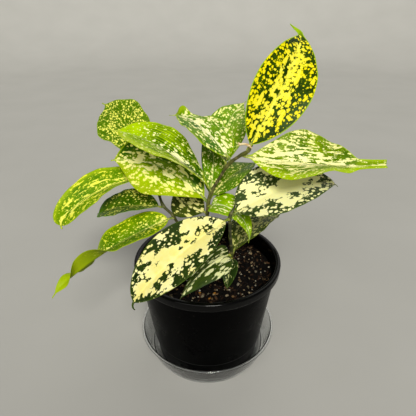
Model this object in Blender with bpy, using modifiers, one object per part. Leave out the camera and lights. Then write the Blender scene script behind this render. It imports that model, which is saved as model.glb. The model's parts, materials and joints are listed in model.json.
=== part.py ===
"""Gold dust dracaena growing in a black nursery pot that stands in a clear saucer.

The plant has three thin canes. Each cane stands in its own hole in the soil and
carries broad, pointed leaves on its nodes. Sizes are in millimetres, and SCALE turns
them into metres. The origin is the centre of the saucer's underside, +Z is up, and
-Y is the side that the plant is looked at from.
"""
import math

import bmesh
import bpy
import numpy as np

SCALE = 0.001
COLLECTION = "gold_dust_dracaena"
CLEARANCE = 0.3            # between pieces that touch
MERGE = 0.00005            # metres, for modifiers that weld
ROUND_STEPS = 40           # facets round the pot and the saucer

# Saucer: thin clear plastic, flared wall with a rolled edge
SAUCER_THICKNESS = 0.9
SAUCER_FLOOR_RADIUS = 60.0
SAUCER_STEP_RADIUS = 64.0
SAUCER_STEP_HEIGHT = 9.0
SAUCER_RIM_RADIUS = 74.0
SAUCER_HEIGHT = 35.0
SAUCER_EDGE = 1.6
SAUCER_EDGE_CREST = (0.6, -0.4)     # both ends of the rolled edge's crest, in edge widths
SAUCER_WALL_DROP = 1.5              # from the crest to the straight wall
SAUCER_LEDGE = (2.0, 1.0)           # the step's ledge: outwards, upwards
SAUCER_FOOT_ROUND = (1.8, 2.2)      # round at the foot: outwards, height

# Pot: one sheet of black plastic, turned over at the top into a hollow rim
POT_THICKNESS = 1.2
POT_FOOT = SAUCER_THICKNESS + CLEARANCE
POT_HEIGHT = 123.6
POT_RIM_RADIUS = 77.4
POT_RIM_DEPTH = 8.0
POT_WALL_TOP_RADIUS = 72.4
POT_STEP_HEIGHT = 27.0
POT_STEP = 0.9
POT_BASE_RADIUS = 56.4
POT_RIM_ROUND = 1.6
POT_RIM_TAPER = 0.4
POT_STEP_ABOVE = 1.0       # the step's slope runs from here above its height
POT_STEP_BELOW = 0.5       # to here below it
POT_HEEL_HEIGHT = 2.0
POT_HEEL = 1.4
CUTTER_SIDES = 12
CUTTER_EXTRA = 2.0         # how far a cutter reaches past what it cuts
DRAIN_HOLES = 6
DRAIN_RADIUS = 4.5
DRAIN_CIRCLE = 38.0

# Soil
SOIL_HEIGHT = 106.0
SOIL_DOME = 2.0
SOIL_ROUGHNESS = 1.3
SOIL_WAVES = ((0.5, 0.16, 0.14, 1.1), (0.3, 0.31, 0.23, 0.0),       # share, turn along x,
              (0.2, -0.29, 0.47, 2.2))                              # turn along y, phase
SOIL_SIDES = 40
SOIL_FOOT_SLOPE = 3.0
SOIL_FOOT_HEIGHT = 2.0
SOIL_STEP_REACH = (-1.0, 2.0)       # rings below and above the pot's step
SOIL_EXTRA_GAP = 0.3
SOIL_TOP_SHARES = (0.86, 0.68, 0.5, 0.32, 0.16)

# Canes: points on each centre line, hand placed from the soil to the growing tip
CANE_RADIUS = 1.5
CANE_FOOT = 78.0
NODE_SWELLING = 0.45
NODE_LENGTH = 2.5
HOLE_RADIUS = CANE_RADIUS + 0.5
HOLE_CUTTER_RISE = 10.0
BUD_LENGTH = 10.0
BUD_SHARE = 0.3            # radius at the growing tip, as a share of the cane's
FOOT_SAMPLE = 2.0          # above and below a node, for the direction of the cane
CANES = {
    "cane_main": [(2, 1, CANE_FOOT), (2, 1, 108), (1, 1, 124), (0, 2, 145), (0, 3, 174), (3, 4, 194),
                  (12, 5, 212), (20, 4, 226), (30, 0, 236), (38, -5, 243), (41, -7, 249)],
    "cane_front": [(20, -19, CANE_FOOT), (20, -19, 108), (21, -20, 120), (24, -22, 141), (22, -25, 165),
                   (21, -26, 184), (24, -24, 192), (26, -23, 198)],
    "cane_left": [(-18, 19, CANE_FOOT), (-18, 19, 108), (-20, 19, 120), (-26, 19, 138), (-36, 21, 160),
                  (-47, 24, 172), (-53, 37, 183), (-57, 50, 194), (-60, 57, 203), (-61, 59, 208)],
}

# Leaves: where each sits on its cane, and how its midrib runs from there.
# Angles are in degrees. The midrib leaves the cane towards azimuth (0 is +X, 90 is +Y),
# rising by rise; over its length it turns by sweep and falls by droop. roll and twist
# lean the blade about its midrib, at the foot and on towards the tip. cup lifts both
# margins, belly above 1 moves the widest place towards the tip, point makes the tip
# finer, and wave ripples the margins. The broad part of the blade ends at the share body,
# and the drip tip starts at the share tail: it turns by tail_turn, lifts by tail_lift, cups
# by tail_cup more, and narrows from tail_share to tip_share of the blade's widest.
# flips are extra turns about the midrib: share of the length, degrees. corner lifts one
# margin to a peak: share, side, height. scallop makes the outline swing in and out, as a
# share of the width. seat is from the cane's centre line to the foot.
BLADE_THICKNESS = 0.8
BLADE_ROWS = 11             # over the broad part
TAIL_ROWS = 5               # over the rest
TAIL_ROWS_START = 0.82
BLADE_COLUMNS = 4
SPINE_STEPS = 120
FOOT_SHARE = 0.05           # width of a blade at its foot, as a share of its widest
BLADE_START = 0.03          # share of the length where the blade begins to widen
ARCH_POWER = 0.85           # below 1 the sine arch is fuller
CUP_BEND = 0.35             # how much of the cup's rise is spent near the midrib
SIDE_PHASE = 0.37           # the ripples of the left margin run this far ahead
CORNER_SPREAD = 0.06
SCALLOP_TURNS = 3.3
LEAF_DEFAULTS = dict(droop=40, sweep=0, belly=1.0, roll=0, twist=0, cup=14, wave=1.2,
                     ripples=2.6, phase=0.0, point=0.0, seat=2.6, body=0.96, tail=0.86,
                     tail_turn=0, tail_lift=0, tail_cup=0, tail_share=0.025, tip_share=0.02,
                     flips=((0.0, 0.0), (1.0, 0.0)), corner=(0.5, 1, 0.0), scallop=0.0)
LEAVES = {
    "leaf_top": dict(cane="cane_main", height=243, seat=2.7, azimuth=20, rise=61, droop=38,
        sweep=69, length=149, width=58, belly=0.85, body=0.875, roll=-61, twist=46,
        flips=((0, 0), (0.85, 0), (0.95, 75), (1, 80)), cup=18, tail=0.865, tail_turn=125,
        tail_lift=12, tail_share=0.1, tip_share=0.02, wave=0.8),
    "leaf_right": dict(cane="cane_main", height=239, seat=3.2, azimuth=-12, rise=-6, droop=-11,
        sweep=4, length=124, width=66, belly=1.12, point=0.1, body=0.82, roll=-60, twist=80,
        flips=((0, 0), (0.6, 0), (0.85, -50), (1, -65)), cup=24, tail=0.74, tail_turn=0,
        tail_lift=0, tail_cup=20, tail_share=0.19, tip_share=0.17, wave=1.0),
    "leaf_right_low": dict(cane="cane_front", height=190, seat=3.0, azimuth=17, rise=31,
        droop=48, sweep=4, length=117, width=61, belly=0.68, roll=-22, twist=-8, cup=16,
        tail_lift=-25, wave=0.8),
    "leaf_right_under": dict(cane="cane_front", height=141, azimuth=60, rise=23, droop=36,
        sweep=-20, length=98, width=48, belly=0.91, roll=15, twist=-6, cup=14, wave=1.0),
    "leaf_front": dict(cane="cane_front", height=184, azimuth=227, rise=-2, droop=61, sweep=-42,
        length=130, width=53, belly=0.97, point=-0.1, body=0.915, roll=21, twist=35, cup=29,
        tail=0.91, tail_turn=60, tail_lift=-60, tail_share=0.05, wave=0.8),
    "leaf_left_large": dict(cane="cane_main", height=187, seat=2.9, azimuth=153, rise=42,
        droop=61, sweep=2, length=123, width=68, belly=0.98, point=0.1, roll=22, twist=54,
        cup=11, wave=0.8),
    "leaf_left_upper": dict(cane="cane_main", height=199, azimuth=167, rise=51, droop=51,
        sweep=-13, length=118, width=57, belly=1.16, roll=-10, twist=32, cup=18, wave=1.0),
    "leaf_left_drooping": dict(cane="cane_left", height=193, azimuth=178, rise=0, droop=50,
        sweep=22, length=129, width=50, belly=0.8, point=-0.42, roll=-8, twist=64, cup=22,
        tail_lift=-50, tail_share=0.07, tip_share=0.05, wave=1.0),
    "leaf_left_small": dict(cane="cane_left", height=172, seat=2.8, azimuth=171, rise=3,
        droop=37, sweep=-19, length=86, width=46, belly=0.85, point=-0.4, roll=-1, twist=32,
        cup=18, wave=0.8),
    "leaf_left_inner": dict(cane="cane_main", height=174, azimuth=136, rise=-5, droop=-11,
        sweep=-9, length=56, width=38, belly=0.95, roll=32, twist=6, cup=10, wave=0.5),
    "leaf_left_long": dict(cane="cane_left", height=160, azimuth=195, rise=-15.5, droop=10,
        sweep=30, length=145, width=48, belly=0.64, point=-0.1, roll=20, twist=-50,
        flips=((0, 0), (0.45, 0), (0.67, -50), (0.73, -50), (0.92, 50), (1, 50)), cup=20,
        tail_lift=-20, tail_share=0.06, wave=1.0),
    "leaf_back_left": dict(cane="cane_left", height=203, seat=3.1, azimuth=134, rise=48,
        droop=34, sweep=-6, length=108, width=61, belly=1.24, point=0.2, roll=21, twist=19,
        cup=17, tail_turn=25, scallop=0.06, wave=2.5),
    "leaf_back_cream": dict(cane="cane_main", height=229, azimuth=131, rise=40, droop=58,
        sweep=-10, length=110, width=47, belly=0.76, point=-0.15, body=0.86, roll=1, twist=-7,
        cup=11, tail=0.86, tail_turn=30, tail_lift=10, tail_share=0.07, corner=(0.83, 1, 9),
        wave=1.5),
    "leaf_back_tall": dict(cane="cane_main", height=224, azimuth=97, rise=29, droop=19,
        sweep=-43, length=114, width=43, belly=0.87, point=0.2, roll=-6, twist=-11, cup=12,
        wave=1.0),
    "leaf_back_dark": dict(cane="cane_main", height=195, seat=2.8, azimuth=73, rise=55,
        droop=57, sweep=42, length=91, width=29, belly=0.85, roll=-4, twist=-14, cup=20,
        wave=0.5),
    "leaf_back_right": dict(cane="cane_main", height=191, seat=2.8, azimuth=49, rise=31,
        droop=34, sweep=-10, length=75, width=57, belly=0.8, roll=-5, twist=27, cup=16,
        wave=0.8),
    "leaf_young": dict(cane="cane_main", height=183, azimuth=-33, rise=33, droop=134, sweep=6,
        length=67, width=30, belly=0.42, roll=-22, twist=14, cup=13, wave=0.4),
    "leaf_low_folded": dict(cane="cane_front", height=141, azimuth=218, rise=7, droop=57,
        sweep=1, length=69, width=36, belly=0.52, roll=48, twist=20, cup=40, wave=0.6),
    "leaf_low_curled": dict(cane="cane_front", height=137, azimuth=268, rise=14, droop=90,
        sweep=-20, length=36, width=17, belly=0.8, roll=0, twist=0, cup=24, wave=0.4),
}






# Small helpers

def clear_scene():
    for old in list(bpy.data.objects):
        bpy.data.objects.remove(old, do_unlink=True)


def make_collection(name):
    collection = bpy.data.collections.new(name)
    bpy.context.scene.collection.children.link(collection)
    return collection


def make_material(name, colour, roughness, alpha=1.0):
    material = bpy.data.materials.new(name)
    material.use_nodes = True
    shader = material.node_tree.nodes["Principled BSDF"]
    shader.inputs["Base Color"].default_value = (*colour, 1.0)
    shader.inputs["Roughness"].default_value = roughness
    shader.inputs["Metallic"].default_value = 0.0
    shader.inputs["Alpha"].default_value = alpha
    return material


def object_from_mesh(name, mesh, material, collection):
    piece = bpy.data.objects.new(name, mesh)
    piece.data.materials.append(material)
    collection.objects.link(piece)
    return piece


def mesh_from_points(name, points, faces):
    """Mesh from points in millimetres."""
    mesh = bpy.data.meshes.new(name)
    scaled = np.asarray(points, dtype=float).reshape(-1, 3) * SCALE
    mesh.from_pydata(scaled.tolist(), [], faces)
    mesh.update()
    return mesh


def smooth_ramp(x):
    x = np.clip(x, 0.0, 1.0)
    return x * x * (3.0 - 2.0 * x)


def quarter_arc(centre, radius, start_degrees, end_degrees, count=3):
    """Points of an arc in the (radius, height) plane, both ends included."""
    angles = np.radians(np.linspace(start_degrees, end_degrees, count))
    return [(centre[0] + radius * math.cos(a), centre[1] + radius * math.sin(a)) for a in angles]


def turned_sheet(name, profile, thickness, material, collection):
    """Sheet whose middle line is profile, turned about Z and given its thickness."""
    points = [(r, 0.0, z) for r, z in profile]
    edges = [(i, i + 1) for i in range(len(points) - 1)]
    mesh = bpy.data.meshes.new(name)
    mesh.from_pydata((np.array(points) * SCALE).tolist(), edges, [])
    piece = object_from_mesh(name, mesh, material, collection)
    screw = piece.modifiers.new("Turn", "SCREW")
    screw.axis = "Z"
    screw.angle = math.tau
    screw.steps = ROUND_STEPS
    screw.render_steps = ROUND_STEPS
    screw.use_merge_vertices = True
    screw.merge_threshold = MERGE
    wall = piece.modifiers.new("Wall", "SOLIDIFY")
    wall.thickness = thickness * SCALE
    wall.offset = 0.0
    wall.use_even_offset = True
    return piece


def subtract(piece, cutters):
    """Cut every object of the cutters collection out of piece."""
    cut = piece.modifiers.new("Holes", "BOOLEAN")
    cut.operation = "DIFFERENCE"
    cut.solver = "EXACT"
    cut.operand_type = "COLLECTION"
    cut.collection = cutters


def upright_cutter(name, x, y, low, high, radius, collection):
    """Closed cylinder used only for cutting."""
    bm = bmesh.new()
    bmesh.ops.create_cone(bm, cap_ends=True, segments=CUTTER_SIDES, radius1=radius * SCALE,
                          radius2=radius * SCALE, depth=(high - low) * SCALE)
    mesh = bpy.data.meshes.new(name)
    bm.to_mesh(mesh)
    bm.free()
    cutter = bpy.data.objects.new(name, mesh)
    cutter.location = (x * SCALE, y * SCALE, (low + high) / 2 * SCALE)
    cutter.hide_render = True
    cutter.display_type = "WIRE"
    collection.objects.link(cutter)
    return cutter


# Saucer

def build_saucer(collection):
    half = SAUCER_THICKNESS / 2
    wall_top = SAUCER_HEIGHT - SAUCER_EDGE
    ledge_out, ledge_up = SAUCER_LEDGE
    round_out, round_height = SAUCER_FOOT_ROUND
    profile = [(SAUCER_RIM_RADIUS + SAUCER_EDGE, wall_top - half)]
    profile += [(SAUCER_RIM_RADIUS + SAUCER_EDGE * share, SAUCER_HEIGHT - half)
                for share in SAUCER_EDGE_CREST]
    profile += [(SAUCER_RIM_RADIUS - SAUCER_EDGE, wall_top - SAUCER_WALL_DROP),
                (SAUCER_STEP_RADIUS + ledge_out, SAUCER_STEP_HEIGHT + ledge_up),
                (SAUCER_STEP_RADIUS, SAUCER_STEP_HEIGHT),
                (SAUCER_FLOOR_RADIUS + round_out, round_height),
                (SAUCER_FLOOR_RADIUS, half),
                (0.0, half)]
    clear = make_material("clear_plastic", (0.80, 0.83, 0.84), 0.08, alpha=0.3)
    return turned_sheet("saucer", profile, SAUCER_THICKNESS, clear, collection)


# Pot

def pot_wall_radius(z):
    """Radius of the wall's middle line; the step near the base narrows it."""
    span = POT_HEIGHT - POT_RIM_DEPTH - POT_FOOT
    taper = (POT_WALL_TOP_RADIUS - POT_BASE_RADIUS) / span
    radius = POT_BASE_RADIUS + taper * (z - POT_FOOT)
    return radius + (POT_STEP if z > POT_STEP_HEIGHT else 0.0) * (1 - z / POT_HEIGHT)


def build_pot(collection, cutters):
    half = POT_THICKNESS / 2
    top = POT_HEIGHT
    outer = POT_RIM_RADIUS - half
    inner = pot_wall_radius(top - POT_RIM_DEPTH)
    profile = [(outer - POT_RIM_TAPER, top - POT_RIM_DEPTH)]
    profile += quarter_arc((outer - POT_RIM_ROUND, top - POT_RIM_ROUND), POT_RIM_ROUND, 0, 90)
    profile += quarter_arc((inner + POT_RIM_ROUND, top - POT_RIM_ROUND), POT_RIM_ROUND, 90, 180)
    profile += [(inner, top - POT_RIM_DEPTH)]
    profile += [(pot_wall_radius(z), z) for z in (POT_STEP_HEIGHT + POT_STEP_ABOVE,
                                                  POT_STEP_HEIGHT - POT_STEP_BELOW,
                                                  POT_FOOT + POT_HEEL_HEIGHT)]
    profile += [(POT_BASE_RADIUS - POT_HEEL, POT_FOOT + half),
                (0.0, POT_FOOT + half)]
    black = make_material("black_plastic", (0.012, 0.012, 0.013), 0.35)
    pot = turned_sheet("pot", profile, POT_THICKNESS, black, collection)
    for i in range(DRAIN_HOLES):
        angle = math.tau * i / DRAIN_HOLES
        upright_cutter(f"drain_{i}", DRAIN_CIRCLE * math.cos(angle), DRAIN_CIRCLE * math.sin(angle),
                       POT_FOOT - CUTTER_EXTRA, POT_FOOT + POT_THICKNESS + CUTTER_EXTRA,
                       DRAIN_RADIUS, cutters)
    subtract(pot, cutters)
    return pot


# Soil

def soil_relief(x, y):
    """Low lumps of the potting mix, as a sum of three waves."""
    return SOIL_ROUGHNESS * sum(share * np.sin(along_x * x + along_y * y + phase)
                                for share, along_x, along_y, phase in SOIL_WAVES)


def build_soil(collection, cutters):
    """Plug that fills the pot: bottom disc, tapered side and a lumpy, slightly domed top."""
    gap = POT_THICKNESS / 2 + CLEARANCE
    bottom = POT_FOOT + POT_THICKNESS + CLEARANCE
    side_heights = [bottom + SOIL_FOOT_HEIGHT]
    side_heights += [POT_STEP_HEIGHT + reach for reach in SOIL_STEP_REACH]
    side_heights += [SOIL_HEIGHT]
    rings = [(POT_BASE_RADIUS - SOIL_FOOT_SLOPE - gap, bottom)]
    rings += [(pot_wall_radius(z) - gap - SOIL_EXTRA_GAP, z) for z in side_heights]
    edge = rings[-1][0]
    rings += [(edge * share, SOIL_HEIGHT + SOIL_DOME * (1 - share ** 2))
              for share in SOIL_TOP_SHARES]
    points = [(0.0, 0.0, bottom)]
    for number, (radius, z) in enumerate(rings):
        for k in range(SOIL_SIDES):
            angle = math.tau * k / SOIL_SIDES
            x, y = radius * math.cos(angle), radius * math.sin(angle)
            lift = soil_relief(x, y) if number >= len(side_heights) + 1 else 0.0
            points.append((x, y, z + lift))
    points.append((0.0, 0.0, SOIL_HEIGHT + SOIL_DOME + soil_relief(0.0, 0.0)))
    last = len(points) - 1
    faces = []
    for k in range(SOIL_SIDES):
        nxt = (k + 1) % SOIL_SIDES
        faces.append((0, 1 + nxt, 1 + k))
        for row in range(len(rings) - 1):
            a, b = 1 + row * SOIL_SIDES, 1 + (row + 1) * SOIL_SIDES
            faces.append((a + k, a + nxt, b + nxt))
            faces.append((a + k, b + nxt, b + k))
        rim = 1 + (len(rings) - 1) * SOIL_SIDES
        faces.append((rim + k, rim + nxt, last))
    brown = make_material("potting_mix", (0.028, 0.017, 0.010), 0.95)
    soil = object_from_mesh("soil", mesh_from_points("soil", points, faces), brown, collection)
    for name, path in CANES.items():
        upright_cutter("hole_" + name, path[0][0], path[0][1], CANE_FOOT - CLEARANCE,
                       SOIL_HEIGHT + HOLE_CUTTER_RISE, HOLE_RADIUS, cutters)
    subtract(soil, cutters)
    return soil


# Canes

def smooth_path(points, per_span=3):
    """Catmull-Rom curve through the points, as an array with per_span points a span."""
    p = np.array(points, dtype=float)
    p = np.vstack([2 * p[0] - p[1], p, 2 * p[-1] - p[-2]])
    out = []
    for i in range(1, len(p) - 2):
        for t in np.arange(per_span) / per_span:
            out.append(0.5 * (2 * p[i] + (p[i + 1] - p[i - 1]) * t
                              + (2 * p[i - 1] - 5 * p[i] + 4 * p[i + 1] - p[i + 2]) * t ** 2
                              + (3 * p[i] - p[i - 1] - 3 * p[i + 1] + p[i + 2]) * t ** 3))
    out.append(p[-2])
    return np.array(out)


def point_on_cane(cane, height):
    """Point of the cane's centre line at a height; every cane rises all the way."""
    path = smooth_path(CANES[cane], per_span=12)
    return np.array([np.interp(height, path[:, 2], path[:, axis]) for axis in range(3)])


def leaf_foot(leaf):
    """Where a blade starts: beside the cane, on the side that the midrib leaves from."""
    here = point_on_cane(leaf["cane"], leaf["height"])
    above = point_on_cane(leaf["cane"], leaf["height"] + FOOT_SAMPLE)
    below = point_on_cane(leaf["cane"], leaf["height"] - FOOT_SAMPLE)
    stem = (above - below) / np.linalg.norm(above - below)
    heading, pitch = math.radians(leaf["azimuth"]), math.radians(leaf["rise"])
    along = np.array([math.cos(pitch) * math.cos(heading), math.cos(pitch) * math.sin(heading),
                      math.sin(pitch)])
    outward = along - stem * along.dot(stem)
    return here + leaf["seat"] * outward / np.linalg.norm(outward)


def cane_radius(cane, z):
    """Plain radius, swollen at each node and drawn out to a bud at the top."""
    nodes = [leaf["height"] for leaf in LEAVES.values() if leaf["cane"] == cane]
    bumps = sum(math.exp(-((z - node) / NODE_LENGTH) ** 2) for node in nodes)
    top = CANES[cane][-1][2]
    bud = float(smooth_ramp((top - z) / BUD_LENGTH))
    full = CANE_RADIUS + NODE_SWELLING * min(bumps, 1.0)
    return full * (BUD_SHARE + (1 - BUD_SHARE) * bud)


def build_cane(cane, material, collection):
    """Round tube along the cane's path, with filled ends."""
    path = smooth_path(CANES[cane])
    curve = bpy.data.curves.new(cane, "CURVE")
    curve.dimensions = "3D"
    curve.bevel_depth = SCALE
    curve.bevel_resolution = 2
    curve.use_fill_caps = True
    spline = curve.splines.new("POLY")
    spline.points.add(len(path) - 1)
    for point, (x, y, z) in zip(spline.points, path):
        point.co = (x * SCALE, y * SCALE, z * SCALE, 1.0)
        point.radius = cane_radius(cane, z)
    guide = bpy.data.objects.new(cane + "_guide", curve)
    collection.objects.link(guide)
    bpy.context.view_layer.update()
    evaluated = guide.evaluated_get(bpy.context.evaluated_depsgraph_get())
    mesh = bpy.data.meshes.new_from_object(evaluated)
    mesh.name = cane
    bm = bmesh.new()
    bm.from_mesh(mesh)
    bmesh.ops.remove_doubles(bm, verts=bm.verts, dist=MERGE / 5)
    bm.to_mesh(mesh)
    bm.free()
    mesh.materials.clear()
    tube = object_from_mesh(cane, mesh, material, collection)
    tube.matrix_world = guide.matrix_world
    bpy.data.objects.remove(guide, do_unlink=True)
    bpy.data.curves.remove(curve)
    return tube


# Leaves

def tail_ramp(leaf, t):
    """0 on the broad part, and a smooth rise to 1 along the drip tip."""
    return smooth_ramp((t - leaf["tail"]) / (1 - leaf["tail"]))


def flip_angle(leaf, t):
    """Extra turn about the midrib, eased from each of the leaf's flips to the next."""
    angle = np.full_like(t, leaf["flips"][0][1])
    for (start, before), (end, after) in zip(leaf["flips"], leaf["flips"][1:]):
        angle = angle + (after - before) * smooth_ramp((t - start) / (end - start))
    return angle


def leaf_spine(leaf, foot):
    """Midrib points, with the directions across and out of the blade, all along it."""
    t = np.linspace(0.0, 1.0, SPINE_STEPS + 1)
    tail = tail_ramp(leaf, t)
    heading = np.radians(leaf["azimuth"] + leaf["sweep"] * t + leaf["tail_turn"] * tail)
    pitch = np.radians(leaf["rise"] - leaf["droop"] * t + leaf["tail_lift"] * tail)
    along = np.stack([np.cos(pitch) * np.cos(heading), np.cos(pitch) * np.sin(heading),
                      np.sin(pitch)], axis=1)
    steps = (along[1:] + along[:-1]) / 2 * leaf["length"] / SPINE_STEPS
    midrib = foot + np.vstack([np.zeros(3), np.cumsum(steps, axis=0)])
    level = np.stack([np.sin(heading), -np.cos(heading), np.zeros_like(heading)], axis=1)
    up = np.cross(level, along)
    lean = np.radians(leaf["roll"] + leaf["twist"] * t + flip_angle(leaf, t))[:, None]
    across = level * np.cos(lean) + up * np.sin(lean)
    out = -level * np.sin(lean) + up * np.cos(lean)
    return t, midrib, across, out


def half_width(leaf, s):
    """Half the blade's width: a sine arch with a narrow foot and tip.

    belly shifts the arch along the blade, and a point above 0 draws the tip out finer.
    """
    share = np.clip((s - BLADE_START) / (leaf["body"] - BLADE_START), 0.0, 1.0) ** leaf["belly"]
    shape = np.sin(np.pi * share) ** (ARCH_POWER + leaf["point"] * share)
    least = np.interp(s, [0.0, leaf["tail"], 1.0], [FOOT_SHARE, leaf["tail_share"], leaf["tip_share"]])
    return leaf["width"] / 2 * np.hypot(shape, least)


def leaf_surface(leaf, foot, s, v):
    """Grid of blade points: s runs from foot to tip and v from one margin to the other.

    A point is midrib(s) + across(s) * w * v * cos(cup) + out(s) * lift, where w is the
    half width and lift raises the margins, ripples them and peaks at the corner.
    """
    t, midrib, across, out = leaf_spine(leaf, foot)
    at = [np.stack([np.interp(s, t, line[:, axis]) for axis in range(3)], axis=1)
          for line in (midrib, across, out)]
    side = np.where(v > 0, 0.0, SIDE_PHASE)
    swing = np.sin(math.tau * (SCALLOP_TURNS * s[:, None] + side[None, :]))
    w = half_width(leaf, s)[:, None] * (1 + leaf["scallop"] * swing)
    cup = np.radians(leaf["cup"] + leaf["tail_cup"] * tail_ramp(leaf, s))[:, None]
    turns = leaf["ripples"] * s[:, None] + leaf["phase"] + side[None, :]
    ripple = leaf["wave"] * np.sin(math.tau * turns) * np.sin(np.pi * s)[:, None]
    corner_at, corner_side, corner_height = leaf["corner"]
    corner = corner_height * np.exp(-((s - corner_at) / CORNER_SPREAD) ** 2)[:, None]
    rise = ((1 + CUP_BEND) * np.abs(v) - CUP_BEND * v ** 2)[None, :]
    lift = w * np.sin(cup) * rise + ripple * v[None, :] ** 2
    lift = lift + corner * (np.clip(v * corner_side, 0.0, 1.0) ** 2)[None, :]
    reach = w * np.cos(cup) * v[None, :]
    return at[0][:, None] + at[1][:, None] * reach[..., None] + at[2][:, None] * lift[..., None]


def build_leaf(name, values, material, collection):
    leaf = {**LEAF_DEFAULTS, **values}
    s = np.concatenate([np.linspace(0.0, TAIL_ROWS_START, BLADE_ROWS + 1),
                        np.linspace(TAIL_ROWS_START, 1.0, TAIL_ROWS + 1)[1:]])
    points = leaf_surface(leaf, leaf_foot(leaf), s, np.linspace(-1.0, 1.0, BLADE_COLUMNS + 1))
    wide = BLADE_COLUMNS + 1
    faces = []
    for row in range(BLADE_ROWS + TAIL_ROWS):
        for column in range(BLADE_COLUMNS):
            a = row * wide + column
            b, c, d = a + 1, a + wide + 1, a + wide
            faces += [(a, b, c), (a, c, d)] if column < BLADE_COLUMNS / 2 else [(a, b, d), (b, c, d)]
    piece = object_from_mesh(name, mesh_from_points(name, points, faces), material, collection)
    blade = piece.modifiers.new("Blade", "SOLIDIFY")
    blade.thickness = BLADE_THICKNESS * SCALE
    blade.offset = 0.0
    return piece


def main():
    clear_scene()
    parts = make_collection(COLLECTION)
    pot_cutters = make_collection("pot_cutters")
    soil_cutters = make_collection("soil_cutters")
    build_saucer(parts)
    build_pot(parts, pot_cutters)
    build_soil(parts, soil_cutters)
    bark = make_material("cane_bark", (0.13, 0.10, 0.045), 0.6)
    for cane in CANES:
        build_cane(cane, bark, parts)
    green = make_material("speckled_leaf", (0.16, 0.30, 0.04), 0.4)
    for name, values in LEAVES.items():
        build_leaf(name, values, green, parts)


main()
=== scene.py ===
# %% [markdown]
# # A gold dust dracaena in its pot
#
# The real object is a young foliage plant: three thin canes in a black nursery pot, each
# carrying broad, pointed leaves that are splashed with yellow and cream. The pot stands in
# a clear saucer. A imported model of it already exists. It is exact but plain, so this lesson
# keeps every leaf, cane and wall where that model has it and dresses them with finer
# surfaces and finishes. Lengths are written in millimetres and turned into metres by MM.

import json
import math

import bpy
import numpy as np
from mathutils import Euler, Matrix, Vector

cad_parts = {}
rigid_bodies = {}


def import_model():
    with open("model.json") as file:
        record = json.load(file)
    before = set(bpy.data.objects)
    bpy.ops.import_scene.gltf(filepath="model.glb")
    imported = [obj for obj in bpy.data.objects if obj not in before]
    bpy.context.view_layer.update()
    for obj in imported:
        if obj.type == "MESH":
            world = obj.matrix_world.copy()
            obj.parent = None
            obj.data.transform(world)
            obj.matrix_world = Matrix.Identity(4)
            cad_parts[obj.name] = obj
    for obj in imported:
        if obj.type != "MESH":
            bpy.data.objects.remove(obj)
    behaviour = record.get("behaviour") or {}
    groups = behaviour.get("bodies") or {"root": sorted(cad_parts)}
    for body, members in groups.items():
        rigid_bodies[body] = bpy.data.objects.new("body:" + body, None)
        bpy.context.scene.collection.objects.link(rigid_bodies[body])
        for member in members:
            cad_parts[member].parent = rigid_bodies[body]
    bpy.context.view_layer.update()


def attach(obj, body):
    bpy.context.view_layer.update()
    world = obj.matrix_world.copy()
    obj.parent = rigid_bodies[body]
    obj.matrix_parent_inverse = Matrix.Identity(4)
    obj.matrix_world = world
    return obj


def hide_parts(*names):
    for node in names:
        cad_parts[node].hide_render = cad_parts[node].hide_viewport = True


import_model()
MM = 0.001

# %% [markdown]
# ## The camera
#
# The plant is seen from a little above, from close by. The distance, the tilt and the lens
# were worked out from the ellipses that the pot's rim and the saucer make in the picture:
# a round rim of known size looks flatter the lower the camera is, and its far side looks
# smaller the closer the camera is.

# %% Camera
CAMERA_PLACE = (0.0, -342.4, 362.7)
CAMERA_TILT = 27.9          # degrees below the horizon
CAMERA_YAW = 0.115          # degrees to the right
CAMERA_ROLL = -0.07
CLIP_START = 10.0
SENSOR = 36.0
FOCAL_PIXELS = 388.25
IMAGE_PIXELS = 416

camera_data = bpy.data.cameras.new("camera")
camera_data.sensor_width = SENSOR
camera_data.lens = FOCAL_PIXELS / IMAGE_PIXELS * SENSOR
camera_data.clip_start = CLIP_START * MM
camera = bpy.data.objects.new("camera", camera_data)
camera.location = Vector(CAMERA_PLACE) * MM
aim = Euler((math.radians(90 - CAMERA_TILT), 0.0, math.radians(-CAMERA_YAW)), "XYZ")
spin = Euler((0.0, 0.0, math.radians(CAMERA_ROLL)), "XYZ")
camera.rotation_euler = (aim.to_matrix() @ spin.to_matrix()).to_euler()
bpy.context.scene.collection.objects.link(camera)
bpy.context.scene.camera = camera
print("lens:", round(camera_data.lens, 2), "mm")

# %% [markdown]
# ## Small tools for materials
#
# A node material is a chain of small sums. These helpers add one node at a time and hand
# back its output, so that a chain reads like a formula. A value may be a number, a colour
# or the output of another node.

# %% Node helpers
def fill(tree, node, inputs):
    """Give each named input of a node its value, or a link where the value is an output."""
    for key, value in inputs.items():
        if isinstance(value, bpy.types.NodeSocket):
            tree.links.new(value, node.inputs[key])
        else:
            node.inputs[key].default_value = value


def add_node(tree, kind, inputs, **settings):
    """Add a node, set its own settings, fill its inputs, and hand back its outputs."""
    made = tree.nodes.new(kind)
    for key, value in settings.items():
        setattr(made, key, value)
    fill(tree, made, inputs)
    return made.outputs


def calc(tree, operation, *values, clamp=False):
    """Result of one operation on the values, held between 0 and 1 if clamp is set."""
    inputs = dict(enumerate(values))
    return add_node(tree, "ShaderNodeMath", inputs, operation=operation, use_clamp=clamp)[0]


def blend(tree, share, first, second, mode="MIX"):
    """First colour where share is 0, second where it is 1: inputs 6 and 7 of the node."""
    inputs = {0: share, 6: first, 7: second}
    return add_node(tree, "ShaderNodeMix", inputs, data_type="RGBA", blend_type=mode)[2]


def ramp(tree, value, low, high, to_low=0.0, to_high=1.0):
    """Smooth step: to_low at low, to_high at high. Low may be above high."""
    inputs = {"Value": value, "From Min": low, "From Max": high, "To Min": to_low, "To Max": to_high}
    return add_node(tree, "ShaderNodeMapRange", inputs, interpolation_type="SMOOTHSTEP")[0]


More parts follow.
